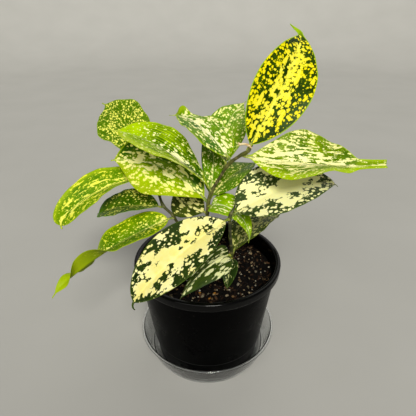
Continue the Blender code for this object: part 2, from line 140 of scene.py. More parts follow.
def combine(tree, x, y, z=0.0):
    """Vector from three values."""
    return add_node(tree, "ShaderNodeCombineXYZ", {0: x, 1: y, 2: z})[0]


def separate(tree, vector):
    """The three values of a vector."""
    return add_node(tree, "ShaderNodeSeparateXYZ", {0: vector})


def noise(tree, vector, scale, detail=2.0, roughness=0.5, output="Fac"):
    """Soft random value around 0.5 over the vector."""
    inputs = {"Vector": vector, "Scale": scale, "Detail": detail, "Roughness": roughness}
    return add_node(tree, "ShaderNodeTexNoise", inputs)[output]


def cells(tree, vector, scale):
    """Distance to the nearest scattered point, and a random colour for each point."""
    return add_node(tree, "ShaderNodeTexVoronoi", {"Vector": vector, "Scale": scale})


def stored(tree, name):
    """Value that the mesh keeps on its points."""
    return add_node(tree, "ShaderNodeAttribute", {}, attribute_name=name)["Vector"]


def object_place(tree, stretch=None):
    """Place on the piece in metres; a stretch multiplies its three axes."""
    here = add_node(tree, "ShaderNodeTexCoord", {})["Object"]
    if stretch is None:
        return here
    return add_node(tree, "ShaderNodeMapping", {"Vector": here, "Scale": stretch})[0]


def bumps(tree, height, strength, distance):
    """Tilted surface direction from a height, whose full rise is distance millimetres."""
    inputs = {"Height": height, "Strength": strength, "Distance": distance * MM}
    return add_node(tree, "ShaderNodeBump", inputs)["Normal"]


print("node helpers ready")

# %% [markdown]
# A node group is a finish that many materials share, each with its own values. Its sockets
# are made first, with their titles and kinds. Colours are written as they look on a screen,
# because that is how they are compared with the real leaf, and turned into light values.

# %% Groups, materials and colours
def colour(red, green, blue):
    """Colour as seen on a screen, 0 to 255, turned into light values by the sRGB formula."""
    seen = np.array([red, green, blue]) / 255
    light = np.where(seen <= 0.04045, seen / 12.92, ((seen + 0.055) / 1.055) ** 2.4)
    return (*[float(x) for x in light], 1.0)


def titled(values):
    """Socket titles from plain names (patch_size is Patch size), and colours from tuples."""
    return {name.replace("_", " ").capitalize(): colour(*value) if isinstance(value, tuple) else value
            for name, value in values.items()}


def new_group(name, inputs, outputs):
    """Node group with named sockets: its tree, its input values and its output sockets."""
    group = bpy.data.node_groups.new(name, "ShaderNodeTree")
    for title, value in inputs.items():
        kind = "NodeSocketColor" if isinstance(value, tuple) else "NodeSocketFloat"
        group.interface.new_socket(title, in_out="INPUT", socket_type=kind).default_value = value
    for title, kind in outputs.items():
        group.interface.new_socket(title, in_out="OUTPUT", socket_type="NodeSocket" + kind)
    return group, group.nodes.new("NodeGroupInput").outputs, group.nodes.new("NodeGroupOutput")


def new_material(name):
    """Material with its node tree and its shader."""
    material = bpy.data.materials.new(name)
    material.use_nodes = True
    return material, material.node_tree, material.node_tree.nodes["Principled BSDF"]


print("light value of middle grey:", round(colour(128, 128, 128)[0], 3))

# %% [markdown]
# ## Small tools for surfaces
#
# Every new piece is worked out as arrays of points. A helper turns the arrays into a mesh,
# stores extra values on the points for the materials to read, and says which node of the
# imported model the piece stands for. A surface here is a pair: its points and its faces.

# %% Mesh helpers
def plain_mesh(name, points, faces, smooth=True):
    """Mesh from points in millimetres."""
    mesh = bpy.data.meshes.new(name)
    mesh.from_pydata((np.asarray(points).reshape(-1, 3) * MM).tolist(), [], faces)
    mesh.polygons.foreach_set("use_smooth", [smooth] * len(mesh.polygons))
    return mesh


def make_piece(name, surface, material, nodes=(), attributes=None):
    """Closed smooth piece from a surface, riding on the plant's one body."""
    mesh = plain_mesh(name, *surface)
    for title, values in (attributes or {}).items():
        layer = mesh.attributes.new(title, "FLOAT_VECTOR", "POINT")
        layer.data.foreach_set("vector", np.asarray(values, np.float32).ravel())
    mesh.materials.append(material)
    mesh.update()
    piece = bpy.data.objects.new(name, mesh)
    bpy.context.scene.collection.objects.link(piece)
    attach(piece, "root")
    if nodes:
        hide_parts(*nodes)
    return piece


def unit(vectors):
    """The same directions with length 1."""
    return vectors / np.linalg.norm(vectors, axis=-1, keepdims=True)


def smooth_ramp(x):
    """Smooth rise x x (3 - 2 x) from 0 to 1, level outside."""
    x = np.clip(x, 0.0, 1.0)
    return x * x * (3.0 - 2.0 * x)


def grid_faces(rows, wide, start=0, closed=False):
    """Quads of a grid of rows by wide points; closed joins the last column to the first."""
    columns = wide if closed else wide - 1
    row, column = np.meshgrid(np.arange(rows - 1), np.arange(columns), indexing="ij")
    a = row * wide + column
    b = row * wide + (column + 1) % wide
    quads = np.stack([a, b, b + wide, a + wide], axis=-1).reshape(-1, 4) + start
    return quads.tolist()


def closed_rings(rings, poles=None, start=0):
    """Surface over a stack of rings, closed at each end by a fan to a pole.

    A pole is the middle of the end ring if none is given. Start counts the points that come
    before these ones.
    """
    count, sides = rings.shape[:2]
    poles = rings[[0, -1]].mean(axis=1) if poles is None else poles
    turn = np.arange(sides)
    after = (turn + 1) % sides
    first = np.full(sides, count * sides)
    top = (count - 1) * sides
    fans = np.vstack([np.stack([after, turn, first], axis=1),
                      np.stack([top + turn, top + after, first + 1], axis=1)])
    faces = grid_faces(count, sides, start, closed=True) + (fans + start).tolist()
    return np.vstack([rings.reshape(-1, 3), poles]), faces


def spun(line, sides):
    """Rings of a line of (radius, height) about Z: x = r cos a, y = r sin a, z = height."""
    radius, height = np.array(line, float).T[:, :, None]
    angle = np.linspace(0.0, math.tau, sides, endpoint=False)
    return np.stack([radius * np.cos(angle), radius * np.sin(angle), height + 0 * angle], axis=-1)


def turned(line, sides):
    """Closed surface made by turning a line that starts and ends on the axis."""
    rings = spun(line, sides)
    return closed_rings(rings[1:-1], rings[[0, -1], 0])


print("faces of a box of rings:", len(turned([(0, 0), (1, 0), (1, 1), (0, 1)], 4)[1]))

# %% [markdown]
# The pot and the saucer are turned about their axis from a line, like clay on a wheel. A
# sharp corner would catch no light, so each corner of the line runs on a small arc. A Bevel
# modifier could round it too, but an arc in the line gives the same points all the way round.

# %% Lines to turn
LINE_STEP = 2.0             # longest stretch of a line that is turned
ARC_POINTS = 7
CORNER_SHARE = 0.48         # an arc takes less than half of the stretch beside it
SHEET_END = 0.4             # how far a sheet's edge bulges, as a share of its thickness


def rounded_line(corners):
    """Line through corners (radius, height, rounding), each corner turned on an arc.

    An arc is the quadratic curve from rounding before the corner to rounding after it.
    Straight stretches are cut into steps, so that the shading changes only at the bends.
    """
    places = np.array([corner[:2] for corner in corners], float)
    line = [places[0]]
    for i in range(1, len(places) - 1):
        before, here, after = places[i - 1:i + 2]
        most = CORNER_SHARE * min(np.linalg.norm(before - here), np.linalg.norm(after - here))
        cut = min(corners[i][2], most)
        start = here + unit(before - here) * cut
        end = here + unit(after - here) * cut
        line += [(1 - t) ** 2 * start + 2 * t * (1 - t) * here + t ** 2 * end
                 for t in np.linspace(0, 1, ARC_POINTS)]
    line.append(places[-1])
    filled = [line[0]]
    for start, end in zip(line, line[1:]):
        count = max(1, math.ceil(np.linalg.norm(end - start) / LINE_STEP))
        filled += [start + (end - start) * (k + 1) / count for k in range(count)]
    return np.array(filled)


def sheet_line(middle, thickness):
    """Both faces of a sheet whose middle line starts on the axis, as one line to turn.

    Each face is the middle line moved by half the thickness across its own direction.
    """
    run = unit(np.gradient(middle, axis=0))
    right = np.stack([run[:, 1], -run[:, 0]], axis=1) * thickness / 2
    outside, inside = middle + right, middle - right
    outside[0, 0] = inside[0, 0] = 0.0
    tip = middle[-1] + run[-1] * thickness * SHEET_END
    return np.vstack([outside, tip, inside[::-1]])


print("points of a rounded corner:", len(rounded_line([(0, 0, 0), (1, 0, 0.4), (1, 1, 0)])))

# %% [markdown]
# ## The canes
#
# A cane is a thin, round stem. A Catmull-Rom curve passes through every point that guides
# it, which makes it easy to follow the real stem. The same points carry the canes of the
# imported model, and the leaves sit on the curve at their own heights.

# %% Lines of the canes
CANE_FOOT = 78.0
FINDING_STEPS = 12          # points between two guide points, for finding a height
CANES = {
    "cane_main": [(2, 1, CANE_FOOT), (2, 1, 108), (1, 1, 124), (0, 2, 145), (0, 3, 174), (3, 4, 194),
                  (12, 5, 212), (20, 4, 226), (30, 0, 236), (38, -5, 243), (41, -7, 249)],
    "cane_front": [(20, -19, CANE_FOOT), (20, -19, 108), (21, -20, 120), (24, -22, 141), (22, -25, 165),
                   (21, -26, 184), (24, -24, 192), (26, -23, 198)],
    "cane_left": [(-18, 19, CANE_FOOT), (-18, 19, 108), (-20, 19, 120), (-26, 19, 138), (-36, 21, 160),
                  (-47, 24, 172), (-53, 37, 183), (-57, 50, 194), (-60, 57, 203), (-61, 59, 208)],
}


def smooth_path(points, per_span):
    """Catmull-Rom curve: a cubic through each pair of points that leans on their neighbours."""
    p = np.array(points, dtype=float)
    p = np.vstack([2 * p[0] - p[1], p, 2 * p[-1] - p[-2]])
    t = (np.arange(per_span) / per_span)[None, :, None]
    a, b, c, d = (p[i:len(p) - 3 + i, None] for i in range(4))
    curve = 0.5 * (2 * b + (c - a) * t + (2 * a - 5 * b + 4 * c - d) * t ** 2
                   + (3 * b - a - 3 * c + d) * t ** 3)
    return np.vstack([curve.reshape(-1, 3), p[-2]])


def along_line(shares, line, wanted):
    """Points of a line at the wanted shares, read between the points that it has."""
    return np.stack([np.interp(wanted, shares, line[:, axis]) for axis in range(3)], axis=-1)


def point_on_cane(cane, height):
    """Middle of a cane at a height."""
    path = smooth_path(CANES[cane], FINDING_STEPS)
    return along_line(path[:, 2], path, height)


print("canes:", {name: len(line) for name, line in CANES.items()})

# %% [markdown]
# ## The leaves as numbers
#
# Each leaf is described by how it grows: where it sits, which way and how steeply it leaves
# the cane, and how far it turns, droops, leans and cups on its way to the tip. These are the
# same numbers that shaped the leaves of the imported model, so a finer surface made from them
# lies where the plain one was. All angles are in degrees.
#
# The broad part of a blade ends at the share body, and its drip tip starts at the share
# tail, where it may turn, lift, cup and narrow on its own. A flip is a place where the
# blade turns over, a corner is a peak that one margin makes, and a scallop lets the
# outline swing in and out.

# %% Table of leaves
LEAF_DEFAULTS = dict(
    seat=2.6, point=0.0, body=0.96, tail=0.86, tail_turn=0, tail_lift=0, tail_cup=0,
    tail_share=0.025, tip_share=0.02, flips=((0.0, 0.0), (1.0, 0.0)), corner=(0.5, 1, 0.0), scallop=0.0)
LEAVES = {
    "leaf_top": dict(cane="cane_main", height=243, seat=2.7, azimuth=20, rise=61, droop=38, sweep=69,
        length=149, width=58, belly=0.85, body=0.875, roll=-61, twist=46,
        flips=((0, 0), (0.85, 0), (0.95, 75), (1, 80)), cup=18, tail=0.865, tail_turn=125,
        tail_lift=12, tail_share=0.1, wave=0.8),
    "leaf_right": dict(cane="cane_main", height=239, seat=3.2, azimuth=-12, rise=-6, droop=-11,
        sweep=4, length=124, width=66, belly=1.12, point=0.1, body=0.82, roll=-60, twist=80,
        flips=((0, 0), (0.6, 0), (0.85, -50), (1, -65)), cup=24, tail=0.74, tail_cup=20,
        tail_share=0.19, tip_share=0.17, wave=1.0),
    "leaf_right_low": dict(cane="cane_front", height=190, seat=3.0, azimuth=17, rise=31, droop=48,
        sweep=4, length=117, width=61, belly=0.68, roll=-22, twist=-8, cup=16, tail_lift=-25, wave=0.8),
    "leaf_right_under": dict(cane="cane_front", height=141, azimuth=60, rise=23, droop=36, sweep=-20,
        length=98, width=48, belly=0.91, roll=15, twist=-6, cup=14, wave=1.0),
    "leaf_front": dict(cane="cane_front", height=184, azimuth=227, rise=-2, droop=61, sweep=-42,
        length=130, width=53, belly=0.97, point=-0.1, body=0.915, roll=21, twist=35, cup=29,
        tail=0.91, tail_turn=60, tail_lift=-60, tail_share=0.05, wave=0.8),
    "leaf_left_large": dict(cane="cane_main", height=187, seat=2.9, azimuth=153, rise=42, droop=61,
        sweep=2, length=123, width=68, belly=0.98, point=0.1, roll=22, twist=54, cup=11, wave=0.8),
    "leaf_left_upper": dict(cane="cane_main", height=199, azimuth=167, rise=51, droop=51, sweep=-13,
        length=118, width=57, belly=1.16, roll=-10, twist=32, cup=18, wave=1.0),
    "leaf_left_drooping": dict(cane="cane_left", height=193, azimuth=178, rise=0, droop=50, sweep=22,
        length=129, width=50, belly=0.8, point=-0.42, roll=-8, twist=64, cup=22, tail_lift=-50,
        tail_share=0.07, tip_share=0.05, wave=1.0),
    "leaf_left_small": dict(cane="cane_left", height=172, seat=2.8, azimuth=171, rise=3, droop=37,
        sweep=-19, length=86, width=46, belly=0.85, point=-0.4, roll=-1, twist=32, cup=18, wave=0.8),
    "leaf_left_inner": dict(cane="cane_main", height=174, azimuth=136, rise=-5, droop=-11, sweep=-9,
        length=56, width=38, belly=0.95, roll=32, twist=6, cup=10, wave=0.5),
    "leaf_left_long": dict(cane="cane_left", height=160, azimuth=195, rise=-15.5, droop=10, sweep=30,
        length=145, width=48, belly=0.64, point=-0.1, roll=20, twist=-50,
        flips=((0, 0), (0.45, 0), (0.67, -50), (0.73, -50), (0.92, 50), (1, 50)), cup=20,
        tail_lift=-20, tail_share=0.06, wave=1.0),
    "leaf_back_left": dict(cane="cane_left", height=203, seat=3.1, azimuth=134, rise=48, droop=34,
        sweep=-6, length=108, width=61, belly=1.24, point=0.2, roll=21, twist=19, cup=17,
        tail_turn=25, scallop=0.06, wave=2.5),
    "leaf_back_cream": dict(cane="cane_main", height=229, azimuth=131, rise=40, droop=58, sweep=-10,
        length=110, width=47, belly=0.76, point=-0.15, body=0.86, roll=1, twist=-7, cup=11,
        tail_turn=30, tail_lift=10, tail_share=0.07, corner=(0.83, 1, 9), wave=1.5),
    "leaf_back_tall": dict(cane="cane_main", height=224, azimuth=97, rise=29, droop=19, sweep=-43,
        length=114, width=43, belly=0.87, point=0.2, roll=-6, twist=-11, cup=12, wave=1.0),
    "leaf_back_dark": dict(cane="cane_main", height=195, seat=2.8, azimuth=73, rise=55, droop=57,
        sweep=42, length=91, width=29, belly=0.85, roll=-4, twist=-14, cup=20, wave=0.5),
    "leaf_back_right": dict(cane="cane_main", height=191, seat=2.8, azimuth=49, rise=31, droop=34,
        sweep=-10, length=75, width=57, belly=0.8, roll=-5, twist=27, cup=16, wave=0.8),
    "leaf_young": dict(cane="cane_main", height=183, azimuth=-33, rise=33, droop=134, sweep=6,
        length=67, width=30, belly=0.42, roll=-22, twist=14, cup=13, wave=0.4),
    "leaf_low_folded": dict(cane="cane_front", height=141, azimuth=218, rise=7, droop=57, sweep=1,
        length=69, width=36, belly=0.52, roll=48, twist=20, cup=40, wave=0.6),
    "leaf_low_curled": dict(cane="cane_front", height=137, azimuth=268, rise=14, droop=90, sweep=-20,
        length=36, width=17, belly=0.8, roll=0, twist=0, cup=24, wave=0.4),
}
leaves = {name: {**LEAF_DEFAULTS, **values} for name, values in LEAVES.items()}
print("leaves:", len(leaves))

# %% [markdown]
# ## The midrib
#
# A leaf grows along its midrib, so the midrib comes first. Its heading and its pitch change
# a little with every step, and adding up the steps gives the line. At each step two more
# directions go with it: across the blade, and out of its upper face.

# %% Midrib
SPINE_STEPS = 120
STEM_REACH = 2.0            # how far above and below a leaf the cane's direction is measured


def direction(heading, pitch):
    """Unit vector with a heading about Z and a pitch above the level."""
    return np.stack([np.cos(pitch) * np.cos(heading), np.cos(pitch) * np.sin(heading), np.sin(pitch)],
                    axis=-1)


def leaf_foot(leaf):
    """Beside the cane, on the side that the midrib leaves from."""
    here, above, below = (point_on_cane(leaf["cane"], leaf["height"] + reach)
                          for reach in (0.0, STEM_REACH, -STEM_REACH))
    stem = unit(above - below)
    along = direction(math.radians(leaf["azimuth"]), math.radians(leaf["rise"]))
    return here + leaf["seat"] * unit(along - stem * along.dot(stem))


def tail_ramp(leaf, t):
    """0 on the broad part, and a smooth rise to 1 along the drip tip."""
    return smooth_ramp((t - leaf["tail"]) / (1 - leaf["tail"]))


def flip_angle(leaf, t):
    """Extra turn about the midrib, eased from each of the leaf's flips to the next."""
    angle = np.full_like(t, leaf["flips"][0][1])
    for (start, before), (end, after) in zip(leaf["flips"], leaf["flips"][1:]):
        angle = angle + (after - before) * smooth_ramp((t - start) / (end - start))
    return angle


def leaf_spine(leaf):
    """Midrib points with the directions across and out.

    Heading is azimuth + sweep t, pitch is rise - droop t, and the blade leans about the
    midrib by roll + twist t and its flips. The drip tip turns and lifts on its own.
    """
    t = np.linspace(0.0, 1.0, SPINE_STEPS + 1)
    tail = tail_ramp(leaf, t)
    heading = np.radians(leaf["azimuth"] + leaf["sweep"] * t + leaf["tail_turn"] * tail)
    pitch = np.radians(leaf["rise"] - leaf["droop"] * t + leaf["tail_lift"] * tail)
    along = direction(heading, pitch)
    steps = (along[1:] + along[:-1]) / 2 * leaf["length"] / SPINE_STEPS
    midrib = leaf_foot(leaf) + np.vstack([np.zeros(3), np.cumsum(steps, axis=0)])
    level = np.stack([np.sin(heading), -np.cos(heading), np.zeros_like(heading)], axis=1)
    up = np.cross(level, along)
    lean = np.radians(leaf["roll"] + leaf["twist"] * t + flip_angle(leaf, t))[:, None]
    across = level * np.cos(lean) + up * np.sin(lean)
    out = -level * np.sin(lean) + up * np.cos(lean)
    return t, midrib, across, out


print("tip of the top leaf:", leaf_spine(leaves["leaf_top"])[1][-1].round(0).tolist())

# %% [markdown]
# ## The blade
#
# Across the midrib the blade is a shallow gutter, its margins ripple, and it is thickest
# over the midrib and thin at the edge. One grid gives the middle of the blade. On it, s is
# the share of the length and v the place between the margins, from -1 to 1.

# %% Middle of the blade
FOOT_SHARE = 0.05           # width of a blade at its foot, as a share of its widest
BLADE_START = 0.03          # share of the length where the blade begins to widen
BLADE_INSET = 0.017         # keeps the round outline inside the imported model's straight edges
ARCH_POWER = 0.85           # below 1 the sine arch is fuller
CUP_BEND = 0.35             # how much of the cup's rise is spent near the midrib
SIDE_PHASE = 0.37           # the ripples of the left margin run this far ahead
CORNER_SPREAD = 0.06
SCALLOP_TURNS = 3.3
RIPPLE_TURNS = 2.6
CRIMP = 0.35                # height of the fine ripples, as a share of the broad ones
CRIMP_TURNS = 2.7           # fine ripples for each broad one
CRIMP_PHASE = 0.3
CRIMP_POWER = 5             # the fine ripples stay close to the margin
MIDRIB_DEPTH = 0.55
MIDRIB_WIDTH = 1.3


def half_width(leaf, s):
    """A sine arch with a narrow foot and tip; belly shifts its widest place."""
    share = np.clip((s - BLADE_START) / (leaf["body"] - BLADE_START), 0.0, 1.0) ** leaf["belly"]
    shape = np.sin(np.pi * share) ** (ARCH_POWER + leaf["point"] * share)
    least = np.interp(s, [0.0, leaf["tail"], 1.0], [FOOT_SHARE, leaf["tail_share"], leaf["tip_share"]])
    return leaf["width"] / 2 * np.hypot(shape, least)


def midrib_bell(reach, s):
    """A rounded ridge over the midrib that fades towards the tip."""
    return np.exp(-(reach / MIDRIB_WIDTH) ** 2) * (1 - s)


def leaf_middle(leaf, s, v):
    """Point = midrib(s) + across(s) w v cos(cup) + out(s) lift, with s a column and v a row.

    w is the half width. lift raises the margins, ripples them and peaks at the corner,
    with a finer crimp on the outermost part and a groove along the midrib.
    """
    t, midrib, across, out = leaf_spine(leaf)
    centre, across, out = (along_line(t, line, s) for line in (midrib, across, out))
    side = np.where(v > 0, 0.0, SIDE_PHASE)
    swing = np.sin(math.tau * (SCALLOP_TURNS * s + side))
    w = half_width(leaf, s) * (1 + leaf["scallop"] * swing) * (1 - BLADE_INSET)
    cup = np.radians(leaf["cup"] + leaf["tail_cup"] * tail_ramp(leaf, s))
    rise = (1 + CUP_BEND) * np.abs(v) - CUP_BEND * v ** 2
    turns = RIPPLE_TURNS * s + side
    swell = np.sin(np.pi * s)
    ripple = leaf["wave"] * swell * np.sin(math.tau * turns)
    crimp = CRIMP * leaf["wave"] * swell * np.sin(math.tau * (CRIMP_TURNS * turns + CRIMP_PHASE))
    corner_at, corner_side, corner_height = leaf["corner"]
    corner = corner_height * np.exp(-((s - corner_at) / CORNER_SPREAD) ** 2)
    lift = (w * np.sin(cup) * rise + ripple * v ** 2 + crimp * np.abs(v) ** CRIMP_POWER
            + corner * np.clip(v * corner_side, 0.0, 1.0) ** 2)
    reach = w * np.cos(cup) * v
    groove = MIDRIB_DEPTH * midrib_bell(reach, s) * swell
    return centre + across * reach[..., None] + out * (lift - groove)[..., None], reach, w


print("widest half of the top leaf:", half_width(leaves["leaf_top"], np.array([0.5])).round(1))

# %% [markdown]
# Moving the middle both ways along its own normal gives the upper and the lower face, and a
# rim joins them. Two values go with every point for the finish: the place on the blade in
# millimetres, and the same place as shares of the blade's width and length.

# %% Blade surface
BLADE_ROWS = 132
BLADE_COLUMNS = 36
ROW_CROWDING = 0.035        # rows lie closer together at both ends
COLUMN_CROWDING = 0.8       # columns lie closer together at the margins
BLADE_THICKNESS = 0.42
EDGE_THINNING = 0.5         # share of the thickness that is gone at the margin
EDGE_POWER = 6
MIDRIB_KEEL = 0.5           # how far the midrib stands out of the lower face


def blade_shell(leaf):
    """Closed blade: the middle grid moved out and in by half its thickness, and a rim."""
    s = np.linspace(0.0, 1.0, BLADE_ROWS + 1)[:, None]
    s = s - ROW_CROWDING * np.sin(math.tau * s) / math.tau
    bend = math.pi / 2 * COLUMN_CROWDING
    v = np.sin(np.linspace(-bend, bend, BLADE_COLUMNS + 1)) / math.sin(bend)
    middle, reach, w = leaf_middle(leaf, s, v)
    normal = unit(np.cross(np.gradient(middle, axis=1), np.gradient(middle, axis=0)))
    half = BLADE_THICKNESS / 2 * (1 - EDGE_THINNING * v ** EDGE_POWER) + 0 * s
    upper = middle + normal * half[..., None]
    lower = middle - normal * (half + MIDRIB_KEEL * midrib_bell(reach, s))[..., None]
    number = np.arange(reach.size).reshape(reach.shape)
    top = np.array(grid_faces(*reach.shape))
    loop = np.concatenate([number[0], number[1:, -1], number[-1, -2::-1], number[-2:0:-1, 0]])
    after = np.roll(loop, -1)
    rim = np.stack([after, loop, loop + reach.size, after + reach.size], axis=1)
    faces = top.tolist() + (top[:, ::-1] + reach.size).tolist() + rim.tolist()
    place = np.stack(np.broadcast_arrays(w * v, s * leaf["length"], w * (1 - np.abs(v))), axis=-1)
    share = np.stack(np.broadcast_arrays(v, s, 0.0), axis=-1)
    under = share + [0, 0, 1]
    return (np.concatenate([upper, lower]), faces), {"place": np.concatenate([place, place]),
                                                     "share": np.concatenate([share, under])}


print("points in a blade:", 2 * (BLADE_ROWS + 1) * (BLADE_COLUMNS + 1))

# %% [markdown]
# ## The gold dust finish
#
# The markings are the point of this plant: round specks of yellow or cream, strewn like
# dust over the green and running together along the midrib until only small ragged islands
# of green are left. Scattered cells make such specks. Each cell has a centre, and a speck
# is drawn where the distance to the centre is below a radius. Where the radius is small
# there are a few separate dots, and where it grows the dots touch and merge, which is just
# what the leaf does. The radius follows a map of the blade: more near the midrib, less at
# the margin, and in patches. One group holds all of it, and each leaf has its own values.

# %% Gold dust group
# Two inputs paint light into the green: a lighter tip, which is a painted highlight, and one half of the
# blade darker than the other, which is painted shade.
DUST_INPUTS = dict(
    ground=(28, 58, 8), light_ground=(70, 104, 8), speck=(240, 228, 20),
    cream=(245, 240, 160), rim=(95, 140, 10), under=(110, 130, 40), warm=(214, 186, 96), cover=0.3,
    centre=0.1, patches=0.15, patch_size=11.0, cell=2.6, stretch=1.3, spread=0.3, fine=0.06,
    margin=2.0, lean=0.0, run=0.0, blotch=0.0, blotch_centre=0.0, blotch_size=9.0, blotch_stretch=1.6,
    ragged=1.0, veins=0.3, lighten=0.0, rim_width=0.9, rim_side=0.0, warmth=0.0, plain_tip=1.2,
    side_light=0.0, midrib=0.3, seed=0.0)
OUTPUTS = {"Colour": "Color", "Height": "Float", "Roughness": "Float"}
dust, given, result = new_group("gold_dust", titled(DUST_INPUTS), OUTPUTS)


def centred(tree, value):
    """A value that lies around a half, moved to lie around 0."""
    return calc(tree, "SUBTRACT", value, 0.5)


def weighted(tree, *terms):
    """Sum of value times weight over the terms."""
    total = 0.0
    for value, weight in terms:
        total = calc(tree, "MULTIPLY_ADD", value, weight, total)
    return total


across_mm, along_mm, margin_mm = separate(dust, stored(dust, "place"))
across_share, along_share, under_face = separate(dust, stored(dust, "share"))
middle_share = calc(dust, "SUBTRACT", 1.0, calc(dust, "ABSOLUTE", across_share))
half_along = centred(dust, along_share)
print("inputs of the group:", len(DUST_INPUTS))

# %% [markdown]
# The places are shifted by the leaf's seed, so that no two leaves have the same dots, and
# then pushed about by a soft noise, so that no speck is a perfect circle. Stretching the
# places along the blade draws the specks out along the veins.

# %% Where the specks lie
SEED_SHIFT = 37.7
PUSH = (0.8, 0.8, 0.0)      # in cells
PUSH_SCALE = 1.3
HALF = (0.5, 0.5, 0.5)

shift = calc(dust, "MULTIPLY", given["Seed"], SEED_SHIFT)
across_shifted = calc(dust, "ADD", across_mm, shift)
cell_length = calc(dust, "MULTIPLY", given["Cell"], given["Stretch"])
cell_place = combine(dust, calc(dust, "DIVIDE", across_shifted, given["Cell"]),
                     calc(dust, "DIVIDE", along_mm, cell_length))
soft = noise(dust, cell_place, PUSH_SCALE, output="Color")
push = add_node(dust, "ShaderNodeVectorMath", {0: soft, 1: HALF}, operation="SUBTRACT")[0]
pushed = add_node(dust, "ShaderNodeVectorMath", {0: push, 1: PUSH, 2: cell_place},
                  operation="MULTIPLY_ADD")[0]
blade_place = combine(dust, across_shifted, along_mm, shift)
patch_scale = calc(dust, "DIVIDE", 1.0, given["Patch size"])
patch = centred(dust, noise(dust, blade_place, patch_scale))
print("nodes that place the specks:", len(dust.nodes))

# %% [markdown]
# The radius of a speck is a sum: how speckled the leaf is in all, how much more so near the
# midrib, in patches, on one side or towards the tip, and a random share of its own. Large
# and small specks come from two layers of cells.

# %% How many specks there are
PATCH_GAIN = 4.0            # the noise stays near its middle, so it is spread out
MARGIN_LOSS = 0.3           # how much less cover there is at the very margin
SMALL_CELLS = 1.8           # small specks for each large one along a line
SMALL_SPREAD = 0.6
SMALL_PATCHES = 0.5
LARGE_EDGE = 0.05           # how soft the edge of a speck is, in cells
SMALL_EDGE = 0.1
CENTRE_RANGE = (0.2, 1.0)   # 0 is the margin and 1 the midrib
TIP_FADE = (-0.06, 0.03)    # about the share where the plain tip begins

bare_margin = calc(dust, "DIVIDE", margin_mm, given["Margin"])
past_tip = calc(dust, "SUBTRACT", along_share, given["Plain tip"])
plain_tip = ramp(dust, past_tip, *TIP_FADE)
centre = ramp(dust, middle_share, *CENTRE_RANGE)
cover = weighted(
    dust, (given["Cover"], 1.0), (centre, given["Centre"]),
    (calc(dust, "MULTIPLY", patch, PATCH_GAIN), given["Patches"]), (across_share, given["Lean"]),
    (half_along, given["Run"]), (ramp(dust, bare_margin, 1.0, 0.0), -MARGIN_LOSS), (plain_tip, -1.0))

large = cells(dust, pushed, 1.0)
large_random = centred(dust, separate(dust, large["Color"])[0])
large_radius = calc(dust, "MULTIPLY_ADD", large_random, given["Spread"], cover)
large_reach = calc(dust, "SUBTRACT", large_radius, large["Distance"])
large_speck = ramp(dust, large_reach, -LARGE_EDGE, LARGE_EDGE)

small = cells(dust, pushed, SMALL_CELLS)
small_random = centred(dust, separate(dust, small["Color"])[1])
small_radius = weighted(dust, (small_random, SMALL_SPREAD), (given["Fine"], 1.0),
                        (patch, SMALL_PATCHES), (plain_tip, -1.0))
small_reach = calc(dust, "SUBTRACT", small_radius, small["Distance"])
small_speck = ramp(dust, small_reach, -SMALL_EDGE, SMALL_EDGE)
print("speck layers: large and small")

# %% [markdown]
# Along the midrib the specks run together into a map-like blotch with a ragged edge. It is
# a noise with much detail, cut off at a level that falls towards the midrib. Round every
# speck lies a halo of lighter green, because the yellow fades out into the leaf.

# %% Blotches and halos
BLOTCH_EDGE = (0.19, 0.21)
BLOTCH_HALO = (0.11, 0.20)
BLOTCH_RANGE = (0.15, 0.95)
HALO_REACH = 0.3            # in cells
SMALL_HALO = 0.6            # strength beside the halo of a large speck

blotch_length = calc(dust, "MULTIPLY", given["Blotch size"], given["Blotch stretch"])
blotch_place = combine(dust, calc(dust, "DIVIDE", across_shifted, given["Blotch size"]),
                       calc(dust, "DIVIDE", along_mm, blotch_length), given["Seed"])
blotch_swing = centred(dust, noise(dust, blotch_place, 1.0, detail=4.0, roughness=0.55))
blotch_level = weighted(
    dust, (blotch_swing, given["Ragged"]), (given["Blotch"], 1.0),
    (ramp(dust, middle_share, *BLOTCH_RANGE), given["Blotch centre"]), (across_share, given["Lean"]),
    (half_along, given["Run"]), (plain_tip, -1.0))
blotch = ramp(dust, blotch_level, *BLOTCH_EDGE)
specks = calc(dust, "MAXIMUM", calc(dust, "MAXIMUM", large_speck, small_speck), blotch)
small_halo = ramp(dust, small_reach, -HALO_REACH, 0.0, 0.0, SMALL_HALO)
halo = calc(dust, "MAXIMUM", ramp(dust, large_reach, -HALO_REACH, 0.0),
            calc(dust, "MAXIMUM", small_halo, ramp(dust, blotch_level, *BLOTCH_HALO)))
print("nodes after the blotches:", len(dust.nodes))

# %% [markdown]
# The colours come last. The green itself changes in soft clouds and in fine lines that run
# with the veins, the specks turn from yellow to cream towards the midrib, a line of its own
# colour edges the blade, and the lower face is paler and duller. The green can also carry
# painted light: a lighter tip as a painted highlight, and one half of the blade darker than
# the other as painted shade. The veins also give the height that the Bump node reads.

# %% Green of the blade
VEINS_ACROSS = 26.0         # soft lines between the two margins
VEINS_ALONG = 1.3
VEIN_GAIN = 3.0
CLOUD_SCALE = 0.07          # clouds for each millimetre
CLOUD_WEIGHT = 1.2
HALO_WEIGHT = 0.15
GREEN_MIDDLE = 0.3          # share of the light green where nothing else acts
RIM_FADE = (1.6, 0.4)       # in rim widths

